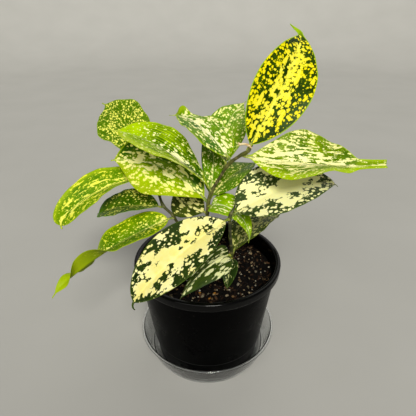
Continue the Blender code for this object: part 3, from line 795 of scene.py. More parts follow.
vein_place = combine(dust, calc(dust, "MULTIPLY", across_share, VEINS_ACROSS),
                     calc(dust, "MULTIPLY", along_share, VEINS_ALONG), given["Seed"])
veins = noise(dust, vein_place, 1.0)
vein_swing = calc(dust, "MULTIPLY", centred(dust, veins), VEIN_GAIN)
cloud = noise(dust, blade_place, CLOUD_SCALE)
# painted highlight: one term makes the green lighter towards the tip and darker at the foot
ground_share = weighted(
    dust, (vein_swing, given["Veins"]), (centred(dust, cloud), CLOUD_WEIGHT), (halo, HALO_WEIGHT),
    # painted shade: the last term makes one half of the blade darker than the other
    (half_along, given["Lighten"]), (across_share, given["Side light"]))
ground_share = calc(dust, "ADD", ground_share, GREEN_MIDDLE, clamp=True)
ground = blend(dust, ground_share, given["Ground"], given["Light ground"])
side_sign = calc(dust, "MULTIPLY_ADD", across_share, given["Rim side"], 1.0)
rim_reach = calc(dust, "DIVIDE", margin_mm, calc(dust, "MULTIPLY", side_sign, given["Rim width"]))
rim_share = calc(dust, "MAXIMUM", ramp(dust, rim_reach, *RIM_FADE), plain_tip)
ground = blend(dust, rim_share, ground, given["Rim"])
print("nodes after the green:", len(dust.nodes))

# %% [markdown]
# Each thing is now painted over the last: specks over the green, the pale line of the
# midrib over the specks, and the thin edge of the blade over both.

# %% Specks and midrib over the green
CREAM = dict(veins=0.35, centre=0.7, blotch=0.25, chance=0.5)      # what makes a speck cream
CREAM_CHANCE = 0.2          # a speck whose random value is above this leans to cream
WARM_CLOUDS = (0.42, 0.6)
MIDRIB_LINE = (1.5, 0.6)    # half width of the pale line at the foot and near the tip
MIDRIB_RUN = (0.0, 0.7)
MIDRIB_FADE = (1.0, 0.3)
EDGE_LINE = (0.7, 0.2)      # the outermost millimetre is always the rim's colour
EDGE_STRENGTH = 0.8
LOWER_SHARE = 0.3           # how much of the markings shows on the lower face
FINE_SCALE = 1.6
RELIEF = dict(veins=0.75, fine=0.3, specks=0.1, cloud=4.0)
DULLNESS = dict(fine=0.16, under=0.22, specks=-0.03)
LEAF_ROUGHNESS = 0.32

cream_share = weighted(
    dust, (vein_swing, CREAM["veins"]), (centre, CREAM["centre"]), (blotch, CREAM["blotch"]),
    (calc(dust, "SUBTRACT", large_random, CREAM_CHANCE), CREAM["chance"]))
cream_share = calc(dust, "ADD", cream_share, 0.0, clamp=True)
speck_colour = blend(dust, cream_share, given["Speck"], given["Cream"])
warm_share = calc(dust, "MULTIPLY", given["Warmth"], ramp(dust, cloud, *WARM_CLOUDS))
speck_colour = blend(dust, warm_share, speck_colour, given["Warm"])
painted = blend(dust, specks, ground, speck_colour)
midrib_width = ramp(dust, along_share, *MIDRIB_RUN, *MIDRIB_LINE)
midrib_reach = calc(dust, "DIVIDE", calc(dust, "ABSOLUTE", across_mm), midrib_width)
midrib_line = calc(dust, "MULTIPLY", ramp(dust, midrib_reach, *MIDRIB_FADE), given["Midrib"])
midrib_line = calc(dust, "SUBTRACT", midrib_line, plain_tip, clamp=True)
painted = blend(dust, midrib_line, painted, given["Cream"])
painted = blend(dust, ramp(dust, margin_mm, *EDGE_LINE, 0.0, EDGE_STRENGTH), painted, given["Rim"])
lower = blend(dust, LOWER_SHARE, given["Under"], painted)

fine = noise(dust, blade_place, FINE_SCALE, detail=3.0)
height = weighted(dust, (veins, RELIEF["veins"]), (fine, RELIEF["fine"]), (specks, RELIEF["specks"]),
                  (cloud, RELIEF["cloud"]))
dull = weighted(dust, (fine, DULLNESS["fine"]), (under_face, DULLNESS["under"]),
                (specks, DULLNESS["specks"]))
fill(dust, result, {"Colour": blend(dust, under_face, painted, lower), "Height": height,
                    "Roughness": calc(dust, "ADD", dull, LEAF_ROUGHNESS)})
print("nodes in the group:", len(dust.nodes))

# %% [markdown]
# ## A finish for every leaf
#
# Leaves of one plant differ. Some low down are dark, new ones are lime green, and some
# are nearly all cream in the middle. The two that lie deepest under other leaves also have
# dull, greyish specks, which is painted shade. The table gives each leaf the values that
# differ from those of the group.

# %% Finishes
LEAF_FINISHES = {
    "leaf_top": dict(ground=(10, 36, 0), light_ground=(72, 104, 0), speck=(240, 226, 4),
        cream=(252, 244, 84), rim=(156, 190, 10), cover=0.41, centre=0.2, patches=0.24,
        patch_size=10.0, cell=2.9, stretch=1.2, fine=0.04, margin=1.2, blotch=0.03,
        blotch_centre=0.12, blotch_size=6.0, blotch_stretch=4.0, veins=0.1, plain_tip=0.9, ragged=1.3,
        midrib=0.5),
    "leaf_right": dict(ground=(62, 100, 0), light_ground=(158, 186, 0), speck=(246, 242, 156),
        cream=(253, 248, 180), rim=(164, 194, 0), cover=0.27, centre=0.0, cell=2.3, stretch=1.5,
        fine=0.08, margin=1.0, blotch_centre=0.2, blotch_size=2.9, blotch_stretch=4.4, run=-0.2,
        rim_width=5.0, rim_side=0.9, ragged=1.8, lean=-0.07, midrib=0.5),
    "leaf_right_low": dict(ground=(36, 54, 22), light_ground=(84, 104, 44), speck=(244, 242, 176),
        cream=(250, 246, 170), rim=(74, 96, 34), cover=0.36, centre=0.0, patches=0.1, cell=3.4,
        fine=0.04, blotch=0.06, blotch_centre=0.26, blotch_stretch=2.0, veins=0.15, ragged=1.8,
        midrib=0.4),
    # painted shade: dull, greyish specks of a leaf in shade under the one above
    "leaf_right_under": dict(ground=(44, 60, 8), light_ground=(84, 102, 28), speck=(196, 198, 112),
        cream=(182, 178, 106), rim=(84, 100, 20), cover=0.32, centre=0.08, cell=3.0, stretch=1.6,
        blotch=0.04, blotch_centre=0.06, blotch_size=5.0, blotch_stretch=2.0, ragged=1.5),
    "leaf_front": dict(ground=(16, 36, 6), light_ground=(58, 78, 22), speck=(247, 244, 180),
        cream=(244, 238, 158), rim=(60, 80, 20), warm=(234, 218, 108), warmth=0.4, cover=0.28,
        patches=0.1, cell=3.8, stretch=1.1, fine=0.03, blotch=0.09, blotch_centre=0.25,
        blotch_size=10.0, blotch_stretch=1.5, veins=0.1, ragged=2.2, plain_tip=0.95, midrib=0.5,
        lean=0.04),
    # painted shade of the leaf above: the far half of this leaf is darker green with fewer specks
    "leaf_left_large": dict(ground=(52, 98, 0), light_ground=(176, 206, 0), speck=(250, 246, 120),
        cream=(253, 250, 176), rim=(164, 188, 10), cover=0.31, centre=0.06, patches=0.14, cell=3.4,
        stretch=1.5, fine=0.07, blotch=-0.01, blotch_centre=0.15, blotch_size=5.5, blotch_stretch=2.8,
        rim_width=6.0, rim_side=-0.9, ragged=1.3, spread=0.36, lean=-0.06, side_light=-0.8, margin=6.0),
    # painted highlight: this leaf is lighter towards the tip; painted light: one half is a little lighter
    # than the other
    "leaf_left_upper": dict(ground=(50, 92, 0), light_ground=(178, 212, 0), speck=(244, 246, 150),
        cream=(250, 248, 196), rim=(170, 194, 14), cover=0.24, centre=0.05, patches=0.14, cell=2.8,
        stretch=1.6, fine=0.07, run=-0.25, blotch=0.02, blotch_centre=0.04, blotch_size=5.6,
        blotch_stretch=5.0, veins=1.0, lighten=1.1, rim_width=5.0, side_light=0.1, midrib=0.2,
        rim_side=-0.9),
    "leaf_left_drooping": dict(ground=(66, 116, 0), light_ground=(140, 176, 0), speck=(232, 234, 60),
        cream=(246, 244, 110), rim=(150, 178, 14), cover=0.25, centre=0.05, patches=0.12, cell=2.4,
        stretch=1.6, fine=0.1, blotch=0.03, blotch_centre=0.09, blotch_size=3.6, blotch_stretch=5.0,
        rim_width=3.0, rim_side=0.6, ragged=1.6, midrib=0.6),
    "leaf_left_small": dict(ground=(40, 76, 0), light_ground=(90, 124, 0), speck=(214, 214, 90),
        cream=(226, 224, 110), rim=(92, 136, 0), cover=0.27, centre=0.04, cell=2.5, plain_tip=0.88),
    "leaf_left_inner": dict(ground=(44, 58, 10), light_ground=(84, 100, 18), speck=(236, 230, 140),
        cream=(240, 234, 150), rim=(60, 76, 16), cover=0.34, cell=3.0, stretch=2.2, blotch=0.06,
        blotch_size=5.6, blotch_stretch=4.0, ragged=1.4),
    "leaf_left_long": dict(ground=(56, 104, 0), light_ground=(140, 174, 0), speck=(230, 232, 44),
        cream=(244, 242, 140), rim=(158, 182, 8), under=(150, 168, 16), cover=0.2, centre=0.04,
        patches=0.1, cell=2.4, stretch=1.4, fine=0.05, run=-0.25, blotch=-0.07, blotch_centre=0.12,
        blotch_size=3.6, blotch_stretch=6.0, rim_width=2.2, plain_tip=0.7, midrib=0.2),
    "leaf_back_left": dict(ground=(52, 94, 0), light_ground=(120, 156, 0), speck=(238, 238, 104),
        cream=(244, 242, 100), rim=(132, 160, 10), cover=0.33, centre=0.06, cell=2.2, stretch=1.15,
        fine=0.13, spread=0.36),
    # painted light: one half of this blade is a little lighter than the other
    "leaf_back_cream": dict(ground=(54, 104, 0), light_ground=(148, 186, 0), speck=(246, 244, 160),
        cream=(252, 250, 190), rim=(150, 178, 12), cover=0.35, centre=0.08, cell=3.1, stretch=1.7,
        fine=0.08, blotch=0.07, blotch_centre=0.09, blotch_size=5.6, blotch_stretch=3.0,
        rim_width=1.4, midrib=0.95, side_light=0.15),
    "leaf_back_tall": dict(ground=(74, 124, 0), light_ground=(156, 194, 0), speck=(246, 248, 150),
        cream=(244, 244, 160), rim=(126, 156, 18), cover=0.33, centre=0.06, cell=3.2, stretch=1.5,
        fine=0.08, blotch=0.04, blotch_size=5.6, blotch_stretch=3.0, ragged=1.4, midrib=0.5),
    "leaf_back_dark": dict(ground=(80, 124, 0), light_ground=(120, 158, 6), speck=(248, 246, 160),
        cream=(250, 248, 170), rim=(52, 74, 8), centre=0.06, fine=0.05),
    "leaf_back_right": dict(ground=(72, 118, 0), light_ground=(130, 166, 12), speck=(240, 240, 130),
        cream=(250, 248, 150), rim=(96, 124, 12), cover=0.28, centre=0.06, cell=2.8),
    "leaf_young": dict(ground=(94, 142, 0), light_ground=(170, 206, 0), speck=(240, 244, 150),
        cream=(246, 248, 190), rim=(156, 188, 0), cover=0.26, centre=0.06, cell=2.8, stretch=1.6,
        fine=0.07, blotch=0.05, blotch_size=3.6, blotch_stretch=4.0, midrib=0.5),
    "leaf_low_folded": dict(ground=(24, 46, 8), light_ground=(78, 98, 28), speck=(220, 224, 164),
        cream=(226, 228, 172), rim=(40, 60, 20), under=(104, 96, 50), cover=0.31, cell=3.0,
        stretch=3.4, blotch=-0.01, blotch_size=3.2, blotch_stretch=8.0, run=-0.18, ragged=1.6),
    # painted shade: dull, greyish specks of a leaf in deep shade near the soil
    "leaf_low_curled": dict(ground=(20, 38, 10), light_ground=(48, 70, 18), speck=(170, 176, 110),
        cream=(176, 180, 118), rim=(50, 72, 20), under=(60, 58, 30), cover=0.2, centre=0.08, cell=2.5,
        stretch=1.8, blotch_size=4.0, blotch_stretch=2.0, ragged=1.6),
}
print("finishes:", len(LEAF_FINISHES))

# %% [markdown]
# A leaf is glossy, and a little light sinks into it and comes out again nearby. A small
# share of Subsurface gives that, and it costs much less than a blade that lets light
# through. One loop makes all the blades.

# %% Blades
LEAF_SHINE = 0.07
LEAF_GLOW = 0.12            # share of the light that sinks into the blade
LEAF_GLOW_RADIUS = (0.4, 0.5, 0.1)
VEIN_STRENGTH = 0.5
VEIN_HEIGHT = 0.25


def leaf_material(name, values, seed):
    """Glossy blade: the group gives colour and roughness, and its height makes the bumps."""
    material, tree, shader = new_material(name + "_finish")
    inputs = {**titled(values), "Seed": float(seed)}
    painted = add_node(tree, "ShaderNodeGroup", inputs, node_tree=dust)
    fill(tree, shader, {
        "Base Color": painted["Colour"], "Roughness": painted["Roughness"],
        "Normal": bumps(tree, painted["Height"], VEIN_STRENGTH, VEIN_HEIGHT),
        "Specular IOR Level": LEAF_SHINE, "Subsurface Weight": LEAF_GLOW,
        "Subsurface Radius": LEAF_GLOW_RADIUS, "Subsurface Scale": MM})
    return material


for seed, (name, leaf) in enumerate(leaves.items()):
    surface, values = blade_shell(leaf)
    finish = leaf_material(name, LEAF_FINISHES[name], seed)
    make_piece(name + "_blade", surface, finish, [name], values)
print("blades made:", len(leaves))

# %% [markdown]
# ## Stalks
#
# A leaf of this plant narrows to a short, channelled stalk that clasps the cane. The stalk
# is a small tube with an oval section, carried from inside the cane along the foot of the
# midrib, and its own directions are those of the blade, so that it turns with the leaf.

# %% Stalks
STALK_SIDES = 16
STALK_END = 0.07            # share of the midrib that the stalk runs under
STALK_RINGS = 8
CLASP_RINGS = 4             # between the middle of the cane and the blade's foot
CLASP_DROP = 1.0            # the stalk leaves the cane this far below the leaf
CLASP_REACH = 0.85
STALK_CLASP = (1.9, 1.5)    # half width and half height at the cane
STALK_TIP = (0.9, 0.5)
STALK_CLOUDS = 320.0        # for each metre, as every noise on a piece's own place
STALK_COLOURS = (colour(92, 116, 24), colour(168, 170, 70))
CLOUD_RANGE = (0.35, 0.7)   # where the noise turns from one colour to the other
STALK_ROUGHNESS = 0.4


def tube_rings(centre, first, second, a, b, sides):
    """Ring = centre + a first cos(angle) + b second sin(angle), at each point of a line."""
    angle = np.linspace(0.0, math.tau, sides, endpoint=False)
    return (centre[:, None] + first[:, None] * (a * np.cos(angle))[..., None]
            + second[:, None] * (b * np.sin(angle))[..., None])


def stalk_rings(leaf):
    """Oval rings from inside the cane to under the blade, across and out as the leaf is."""
    t, midrib, across, out = leaf_spine(leaf)
    q = np.linspace(0.0, STALK_END, STALK_RINGS)
    under, across, out = (along_line(t, line, q) for line in (midrib, across, out))
    start = point_on_cane(leaf["cane"], leaf["height"] - CLASP_DROP)
    inner = start + (under[0] - start) * np.linspace(0.0, CLASP_REACH, CLASP_RINGS)[:, None]
    centre = np.vstack([inner, under])
    across, out = (np.vstack([line[:1]] * CLASP_RINGS + [line]) for line in (across, out))
    grown = smooth_ramp(np.linspace(0.0, 1.0, len(centre)))[:, None]
    a, b = (clasp + (tip - clasp) * grown for clasp, tip in zip(STALK_CLASP, STALK_TIP))
    return tube_rings(centre, across, -out, a, b, STALK_SIDES)


stalk_points, stalk_faces = [], []
for leaf in leaves.values():
    points, faces = closed_rings(stalk_rings(leaf), start=sum(map(len, stalk_points)))
    stalk_points.append(points)
    stalk_faces += faces

stalk_finish, tree, shader = new_material("stalk_finish")
clouds = ramp(tree, noise(tree, object_place(tree), STALK_CLOUDS, detail=4.0), *CLOUD_RANGE)
fill(tree, shader, {"Base Color": blend(tree, clouds, *STALK_COLOURS), "Roughness": STALK_ROUGHNESS})
make_piece("leaf_stalks", (np.vstack(stalk_points), stalk_faces), stalk_finish)
print("stalk faces:", len(stalk_faces))

# %% [markdown]
# Where the topmost leaves part, the dried sheath of an older leaf has stayed on the node. It
# is a small cream tube that sticks out to the left and curls at its end. Its line is a
# Catmull-Rom curve again, its radius swells and shrinks along the way, and it is pleated.

# %% Dried sheath
SHEATH_LINE = [(40.5, -6.5, 246.0), (37.0, -5.5, 248.6), (33.0, -4.6, 249.4), (29.5, -4.0, 248.8),
               (28.4, -3.6, 250.6)]
SHEATH_RADII = (0.7, 1.2, 1.0, 1.2, 0.5)
SHEATH_STEPS = 8
SHEATH_SIDES = 14
PLEATS = 5
PLEAT_DEPTH = 0.12
SHEATH_STRETCH = (160.0, 900.0, 900.0)
SHEATH_COLOURS = (colour(196, 160, 104), colour(242, 226, 182))
SHEATH_ROUGHNESS = 0.7
FIBRE_STRENGTH = 0.6
SHEATH_RELIEF = 0.2


def square_to(line, guide):
    """Two directions square to a line: across = guide x run, and forward = run x across."""
    run = unit(np.gradient(line, axis=0))
    across = unit(np.cross(guide, run))
    return across, np.cross(run, across)


sheath_line = smooth_path(SHEATH_LINE, SHEATH_STEPS)
shares = np.linspace(0, 1, len(sheath_line))
radius = np.interp(shares, np.linspace(0, 1, len(SHEATH_RADII)), SHEATH_RADII)
turn = np.linspace(0.0, math.tau, SHEATH_SIDES, endpoint=False)
pleated = radius[:, None] * (1 + PLEAT_DEPTH * np.sin(PLEATS * turn))
sheath_rings = tube_rings(sheath_line, *square_to(sheath_line, [0.0, 0.0, -1.0]), pleated, pleated,
                          SHEATH_SIDES)

sheath_finish, tree, shader = new_material("dried_sheath")
fibres = noise(tree, object_place(tree, SHEATH_STRETCH), 1.0, detail=4.0)
fill(tree, shader, {"Base Color": blend(tree, ramp(tree, fibres, *CLOUD_RANGE), *SHEATH_COLOURS),
                    "Normal": bumps(tree, fibres, FIBRE_STRENGTH, SHEATH_RELIEF),
                    "Roughness": SHEATH_ROUGHNESS})
make_piece("dried_sheath", closed_rings(sheath_rings), sheath_finish)
print("rings of the sheath:", len(sheath_rings))

# %% [markdown]
# ## The canes as tubes
#
# Each cane is a ring carried along its line. The two directions of the ring are square to
# the line everywhere. The radius swells wherever a leaf sits, and the cane runs out to a
# bud at the top. A leaf that has been shed leaves a thin pale scar right round the cane, so
# the radius also has fine ridges, and a value on the points marks the scars for the finish.

# %% Canes
CANE_SIDES = 24
CANE_STEPS = 16             # points between two guide points
CANE_RADIUS = 1.5
NODE_SWELLING = 0.45
NODE_LENGTH = 2.5
SCAR_SPACING = 9.0
SCAR_LENGTH = 0.7
SCAR_RIDGE = 0.12
BUD_LENGTH = 10.0
BUD_TIP = 0.3               # share of the radius that is left at the top


def cane_rings(cane):
    """Round rings whose radius swells at the leaves and the scars, and the marks for these."""
    centre = smooth_path(CANES[cane], CANE_STEPS)
    height = centre[:, 2]
    nodes = np.array([leaf["height"] for leaf in leaves.values() if leaf["cane"] == cane])
    swollen = np.exp(-((height[:, None] - nodes) / NODE_LENGTH) ** 2).sum(axis=1)
    swollen = np.minimum(swollen, 1.0)
    offset = (height + SCAR_SPACING / 2) % SCAR_SPACING - SCAR_SPACING / 2
    scar = np.exp(-(offset / SCAR_LENGTH) ** 2)
    bud = smooth_ramp((height[-1] - height) / BUD_LENGTH)
    radius = (CANE_RADIUS + NODE_SWELLING * swollen + SCAR_RIDGE * scar) * (BUD_TIP + (1 - BUD_TIP) * bud)
    radius = radius[:, None]
    rings = tube_rings(centre, *square_to(centre, [0.0, 1.0, 0.0]), radius, radius, CANE_SIDES)
    return rings, np.stack([scar, swollen, height], axis=1)


BARK_STRETCH = (900.0, 900.0, 130.0)
BARK = {  # dark and light colour of each cane; the short one in front is the youngest, and its darker colours are painted shade
    "cane_main": (colour(26, 28, 8), colour(104, 100, 42)),
    # painted shade: the front cane's darker bark stands for the shade among the lower leaves
    "cane_front": (colour(14, 20, 6), colour(58, 66, 26)),
    "cane_left": (colour(26, 28, 8), colour(96, 96, 40)),
}
SCAR_PAINT = (0.4, colour(150, 140, 90))        # share and colour
NODE_PAINT = (0.35, colour(104, 112, 30))
BARK_RELIEF = 0.3
BARK_RANGE = (0.3, 0.75)
BARK_ROUGHNESS = (0.2, 0.8, 0.42, 0.7)          # of the noise, and what that range turns into


def bark_material(cane):
    """Fibres along the cane, pale scars and greener nodes; the fibres also make the bumps."""
    material, tree, shader = new_material(cane + "_bark")
    scar, swollen = separate(tree, stored(tree, "marks"))[:2]
    grain = noise(tree, object_place(tree, BARK_STRETCH), 1.0, detail=5.0, roughness=0.65)
    painted = blend(tree, ramp(tree, grain, *BARK_RANGE), *BARK[cane])
    for mark, (share, paint) in ((scar, SCAR_PAINT), (swollen, NODE_PAINT)):
        painted = blend(tree, calc(tree, "MULTIPLY", mark, share), painted, paint)
    fill(tree, shader, {"Base Color": painted, "Roughness": ramp(tree, grain, *BARK_ROUGHNESS),
                        "Normal": bumps(tree, grain, FIBRE_STRENGTH, BARK_RELIEF)})
    return material


for cane in CANES:
    rings, marks = cane_rings(cane)
    values = np.vstack([np.repeat(marks, CANE_SIDES, axis=0), marks[0], marks[-1]])
    make_piece(cane + "_stem", closed_rings(rings), bark_material(cane), [cane], {"marks": values})
    print(cane, "rings:", len(rings))

# %% [markdown]
# ## The pot's line
#
# A nursery pot is blown or moulded from one thin sheet, so it is drawn as the middle line
# of that sheet: out along the floor, up the tapered wall with a small step near the base,
# over the top and down again as a hollow rim. Moving the line half the wall's thickness to
# both sides and turning it once round gives the whole pot as one closed surface.

# %% Line of the pot
POT_THICKNESS = 1.2
POT_FOOT = 1.2
POT_HEIGHT = 123.6
POT_RIM_RADIUS = 77.4
POT_RIM_DEPTH = 8.0
POT_WALL_TOP_RADIUS = 72.4
POT_BASE_RADIUS = 56.4
POT_STEP_HEIGHT = 27.0
POT_STEP = 0.9
STEP_EDGES = (-0.5, 1.0)    # where the step starts and ends, from its own height
POT_BENDS = dict(floor=2.4, step=0.6, under_rim=1.0, rim=1.5)
RIM_DRAFTS = (0.2, 0.4)     # how far the rim's inner and outer side lean


def pot_wall_radius(z):
    """Radius of the wall's middle line at a height: an even taper, wider above the step."""
    taper = (POT_WALL_TOP_RADIUS - POT_BASE_RADIUS) / (POT_HEIGHT - POT_RIM_DEPTH - POT_FOOT)
    above = POT_STEP * (1 - z / POT_HEIGHT) if z > POT_STEP_HEIGHT else 0.0
    return POT_BASE_RADIUS + taper * (z - POT_FOOT) + above


half_wall = POT_THICKNESS / 2
floor_height = POT_FOOT + half_wall
rim_radius = POT_RIM_RADIUS - half_wall
rim_bottom = POT_HEIGHT - POT_RIM_DEPTH
lip = POT_HEIGHT - half_wall
wall_top = pot_wall_radius(rim_bottom)
step_heights = [POT_STEP_HEIGHT + edge for edge in STEP_EDGES]
pot_line = rounded_line([
    (0.0, floor_height, 0.0), (POT_BASE_RADIUS, floor_height, POT_BENDS["floor"]),
    *[(pot_wall_radius(z), z, POT_BENDS["step"]) for z in step_heights],
    (wall_top, rim_bottom, POT_BENDS["under_rim"]), (wall_top + RIM_DRAFTS[0], lip, POT_BENDS["rim"]),
    (rim_radius, lip, POT_BENDS["rim"]), (rim_radius - RIM_DRAFTS[1], rim_bottom, 0.0)])
print("points on the pot's line:", len(pot_line))

# %% [markdown]
# The plastic is black and dull, with a faint grain that runs round, a little dust, and a
# glossier rim. Dust lies only where two noises agree, so that it comes in patches.

# %% Black plastic
RING_GRAIN = (60.0, 60.0, 420.0)
GRAIN_WEIGHT = 0.6
ORANGE_PEEL = 900.0
PEEL_WEIGHT = 0.3
SMUDGES = 38.0
SMUDGE_RANGE = (0.5, 0.75)
DIRT = 420.0
DIRT_RANGE = (0.66, 0.74)
BLACK = colour(2, 2, 2)
DUST_GREY = colour(44, 40, 34)
RIM_GLOSS = (0.113, 0.118, 0.0, 0.28)       # from this height to that one, in metres
POT_ROUGHNESS = (0.3, 0.75, 0.24, 0.4)      # of the smudges, and what that range turns into
POT_SHINE = 0.02
POT_COAT_ROUGHNESS = 0.1
POT_STRENGTH = 0.25
POT_RELIEF = 0.2

black, tree, shader = new_material("black_plastic")
here = object_place(tree)
smudge = noise(tree, here, SMUDGES, detail=5.0, roughness=0.6)
dirt = ramp(tree, noise(tree, here, DIRT, detail=4.0), *DIRT_RANGE)
dusty = calc(tree, "MULTIPLY", dirt, ramp(tree, smudge, *SMUDGE_RANGE))
peel = calc(tree, "MULTIPLY", noise(tree, here, ORANGE_PEEL), PEEL_WEIGHT)
grain = noise(tree, object_place(tree, RING_GRAIN), 1.0, detail=3.0)
relief = calc(tree, "MULTIPLY_ADD", grain, GRAIN_WEIGHT, peel)
fill(tree, shader, {
    "Base Color": blend(tree, dusty, BLACK, DUST_GREY), "Specular IOR Level": POT_SHINE,
    "Roughness": ramp(tree, smudge, *POT_ROUGHNESS), "Coat Roughness": POT_COAT_ROUGHNESS,
    "Coat Weight": ramp(tree, separate(tree, here)[2], *RIM_GLOSS),
    "Normal": bumps(tree, relief, POT_STRENGTH, POT_RELIEF)})
print("nodes of the plastic:", len(tree.nodes))

# %% [markdown]
# The floor of the pot has drain holes. They are cut with a Boolean from a set of short
# cylinders, and the result is stored as a plain mesh, so that nothing is left to work out
# later. Cylinders that only cut are removed again.

# %% Pot with its drain holes
POT_SIDES = 160
DRAIN_HOLES = 6
DRAIN_RADIUS = 4.5
DRAIN_CIRCLE = 38.0
DRAIN_SIDES = 32
CUT_OVERLAP = 1.0           # a cutter stands out of the floor by this on both sides


def drain_cutter(k):
    """Short upright cylinder through the floor, at its place on the circle of holes."""
    low, high = POT_FOOT - CUT_OVERLAP, POT_FOOT + POT_THICKNESS + CUT_OVERLAP
    points, faces = turned([(0, low), (DRAIN_RADIUS, low), (DRAIN_RADIUS, high), (0, high)], DRAIN_SIDES)
    turn = math.tau * k / DRAIN_HOLES
    points = points + [DRAIN_CIRCLE * math.cos(turn), DRAIN_CIRCLE * math.sin(turn), 0]
    return bpy.data.objects.new(f"drain_{k}", plain_mesh(f"drain_{k}", points, faces, smooth=False))


pot_surface = turned(sheet_line(pot_line, POT_THICKNESS), POT_SIDES)
pot = make_piece("pot_shell", pot_surface, black, ["pot"])
cutters = bpy.data.collections.new("drain_cutters")
bpy.context.scene.collection.children.link(cutters)
for k in range(DRAIN_HOLES):
    cutters.objects.link(drain_cutter(k))
holes = pot.modifiers.new("holes", "BOOLEAN")
holes.operation = "DIFFERENCE"
holes.solver = "EXACT"
holes.operand_type = "COLLECTION"
holes.collection = cutters
bpy.context.view_layer.update()
cut_mesh = bpy.data.meshes.new_from_object(pot.evaluated_get(bpy.context.evaluated_depsgraph_get()))
pot.modifiers.clear()
pot.data = cut_mesh
for cutter in list(cutters.objects):
    bpy.data.objects.remove(cutter, do_unlink=True)
bpy.data.collections.remove(cutters)
print("faces of the pot:", len(pot.data.polygons))

# %% [markdown]
# ## The clear saucer
#
# The saucer is thin clear plastic with a flared wall, a step near its floor and a rolled
# edge. Clear plastic is seen by its edges and rings, where light bends most, so its line
# has real roundings there. The shader is plain transmission with a low roughness.

# %% Saucer
SAUCER_THICKNESS = 0.9
SAUCER_SIDES = 192
half_sheet = SAUCER_THICKNESS / 2
SAUCER_CORNERS = [  # radius, height, rounding
    (0.0, half_sheet, 0.0), (60.0, half_sheet, 1.0), (61.8, 2.2, 1.2), (64.0, 9.0, 0.8),
    (66.0, 10.0, 0.8), (72.4, 31.9, 1.5), (73.4, 34.5, 0.8), (75.0, 34.5, 0.7), (75.5, 33.0, 0.0)]
SCUFFS = 70.0
CLEAR_COLOURS = (colour(240, 244, 245), colour(250, 251, 251))
CLEAR_ROUGHNESS = (0.4, 0.8, 0.03, 0.14)        # of the scuffs, and what that range turns into
CLEAR_IOR = 1.46

saucer_line = rounded_line(SAUCER_CORNERS)
clear, tree, shader = new_material("clear_plastic")
scuffs = noise(tree, object_place(tree), SCUFFS, detail=6.0, roughness=0.65)
fill(tree, shader, {"Roughness": ramp(tree, scuffs, *CLEAR_ROUGHNESS), "IOR": CLEAR_IOR,
                    "Base Color": blend(tree, scuffs, *CLEAR_COLOURS), "Transmission Weight": 1.0})
make_piece("saucer_clear", turned(sheet_line(saucer_line, SAUCER_THICKNESS), SAUCER_SIDES), clear,
           ["saucer"])
print("points on the saucer's line:", len(saucer_line))

# %% [markdown]
# ## The potting mix
#
# The soil is a plug that fills the pot. Only its top shows, so the top has many rings and
# a relief of low lumps, while the side follows the pot's wall just inside it. The relief is
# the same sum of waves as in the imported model, with finer crumbs added to it.

# %% Soil
SOIL_HEIGHT = 106.0
SOIL_DOME = 2.0
SOIL_ROUGHNESS = 1.3
SOIL_WAVES = (              # share, turn along x, turn along y, phase
    (0.5, 0.16, 0.14, 1.1), (0.3, 0.31, 0.23, 0.0), (0.2, -0.29, 0.47, 2.2))
SOIL_FADE = 0.14            # share of the radius over which the relief dies out at the edge
CRUMB_HEIGHT = 0.35
CRUMB_WAVES = ((1.9, 0.8, 0.0), (-0.5, 1.6, 0.0), (0.9, 0.0, 1.3))      # along x, along y, phase
SOIL_SIDES = 180
SOIL_RINGS = 70
SOIL_TOP = 0.99             # the outermost ring of the top, as a share of its edge
SOIL_GAP = POT_THICKNESS / 2 + 0.6              # from the middle of the pot's wall
SOIL_BOTTOM = POT_FOOT + POT_THICKNESS + 0.3    # just over the pot's floor
SOIL_CHAMFER = (3.0, 2.0)   # in and up at the bottom edge
SIDE_HEIGHTS = (SOIL_BOTTOM + SOIL_CHAMFER[1], POT_STEP_HEIGHT - 1.0, POT_STEP_HEIGHT + 2.0, 60.0, 90.0,
                SOIL_HEIGHT)
soil_edge = pot_wall_radius(SOIL_HEIGHT) - SOIL_GAP


def soil_top(x, y):
    """Height of the soil: a low dome, three broad waves that fade at the edge, and crumbs."""
    share = np.minimum(np.hypot(x, y) / soil_edge, 1.0)
    waves = SOIL_ROUGHNESS * sum(part * np.sin(along_x * x + along_y * y + phase)
                                 for part, along_x, along_y, phase in SOIL_WAVES)
    crumbs = CRUMB_HEIGHT * math.prod(np.sin(along_x * x + along_y * y + phase)
                                      for along_x, along_y, phase in CRUMB_WAVES)
    relief = (waves + crumbs) * smooth_ramp((1 - share) / SOIL_FADE)
    return SOIL_HEIGHT + SOIL_DOME * (1 - share ** 2) + relief


soil_line = [(0.0, SOIL_BOTTOM), (POT_BASE_RADIUS - SOIL_CHAMFER[0] - SOIL_GAP, SOIL_BOTTOM)]
soil_line += [(pot_wall_radius(z) - SOIL_GAP, z) for z in SIDE_HEIGHTS]
top_start = len(soil_line) - 1
soil_line += [(soil_edge * k, SOIL_HEIGHT) for k in np.linspace(SOIL_TOP, 0.0, SOIL_RINGS)]
points, faces = turned(soil_line, SOIL_SIDES)
top = np.zeros(len(points), bool)
top[top_start * SOIL_SIDES:] = True
top[-2] = False             # the pole of the bottom
points[top, 2] = soil_top(points[top, 0], points[top, 1])
print("points of the soil:", len(points))

# %% [markdown]
# Peat is nearly black and damp in places. A noise with much detail gives its crumbly colour
# and its relief, and a broad one gives the damp patches, which are browner and smoother.

# %% Peat
LUMPS = 420.0
DAMP = 60.0
PEAT_COLOURS = (colour(2, 1, 1), colour(16, 12, 8))
PEAT_RANGE = (0.35, 0.75)
DAMP_COLOUR = colour(14, 10, 6)
DAMP_RANGE = (0.4, 0.65, 0.0, 0.5)              # of the noise, and what that range turns into
PEAT_ROUGHNESS = (0.3, 0.7, 0.95, 0.75)
SOIL_SHINE = 0.1
LUMP_RELIEF = 1.2

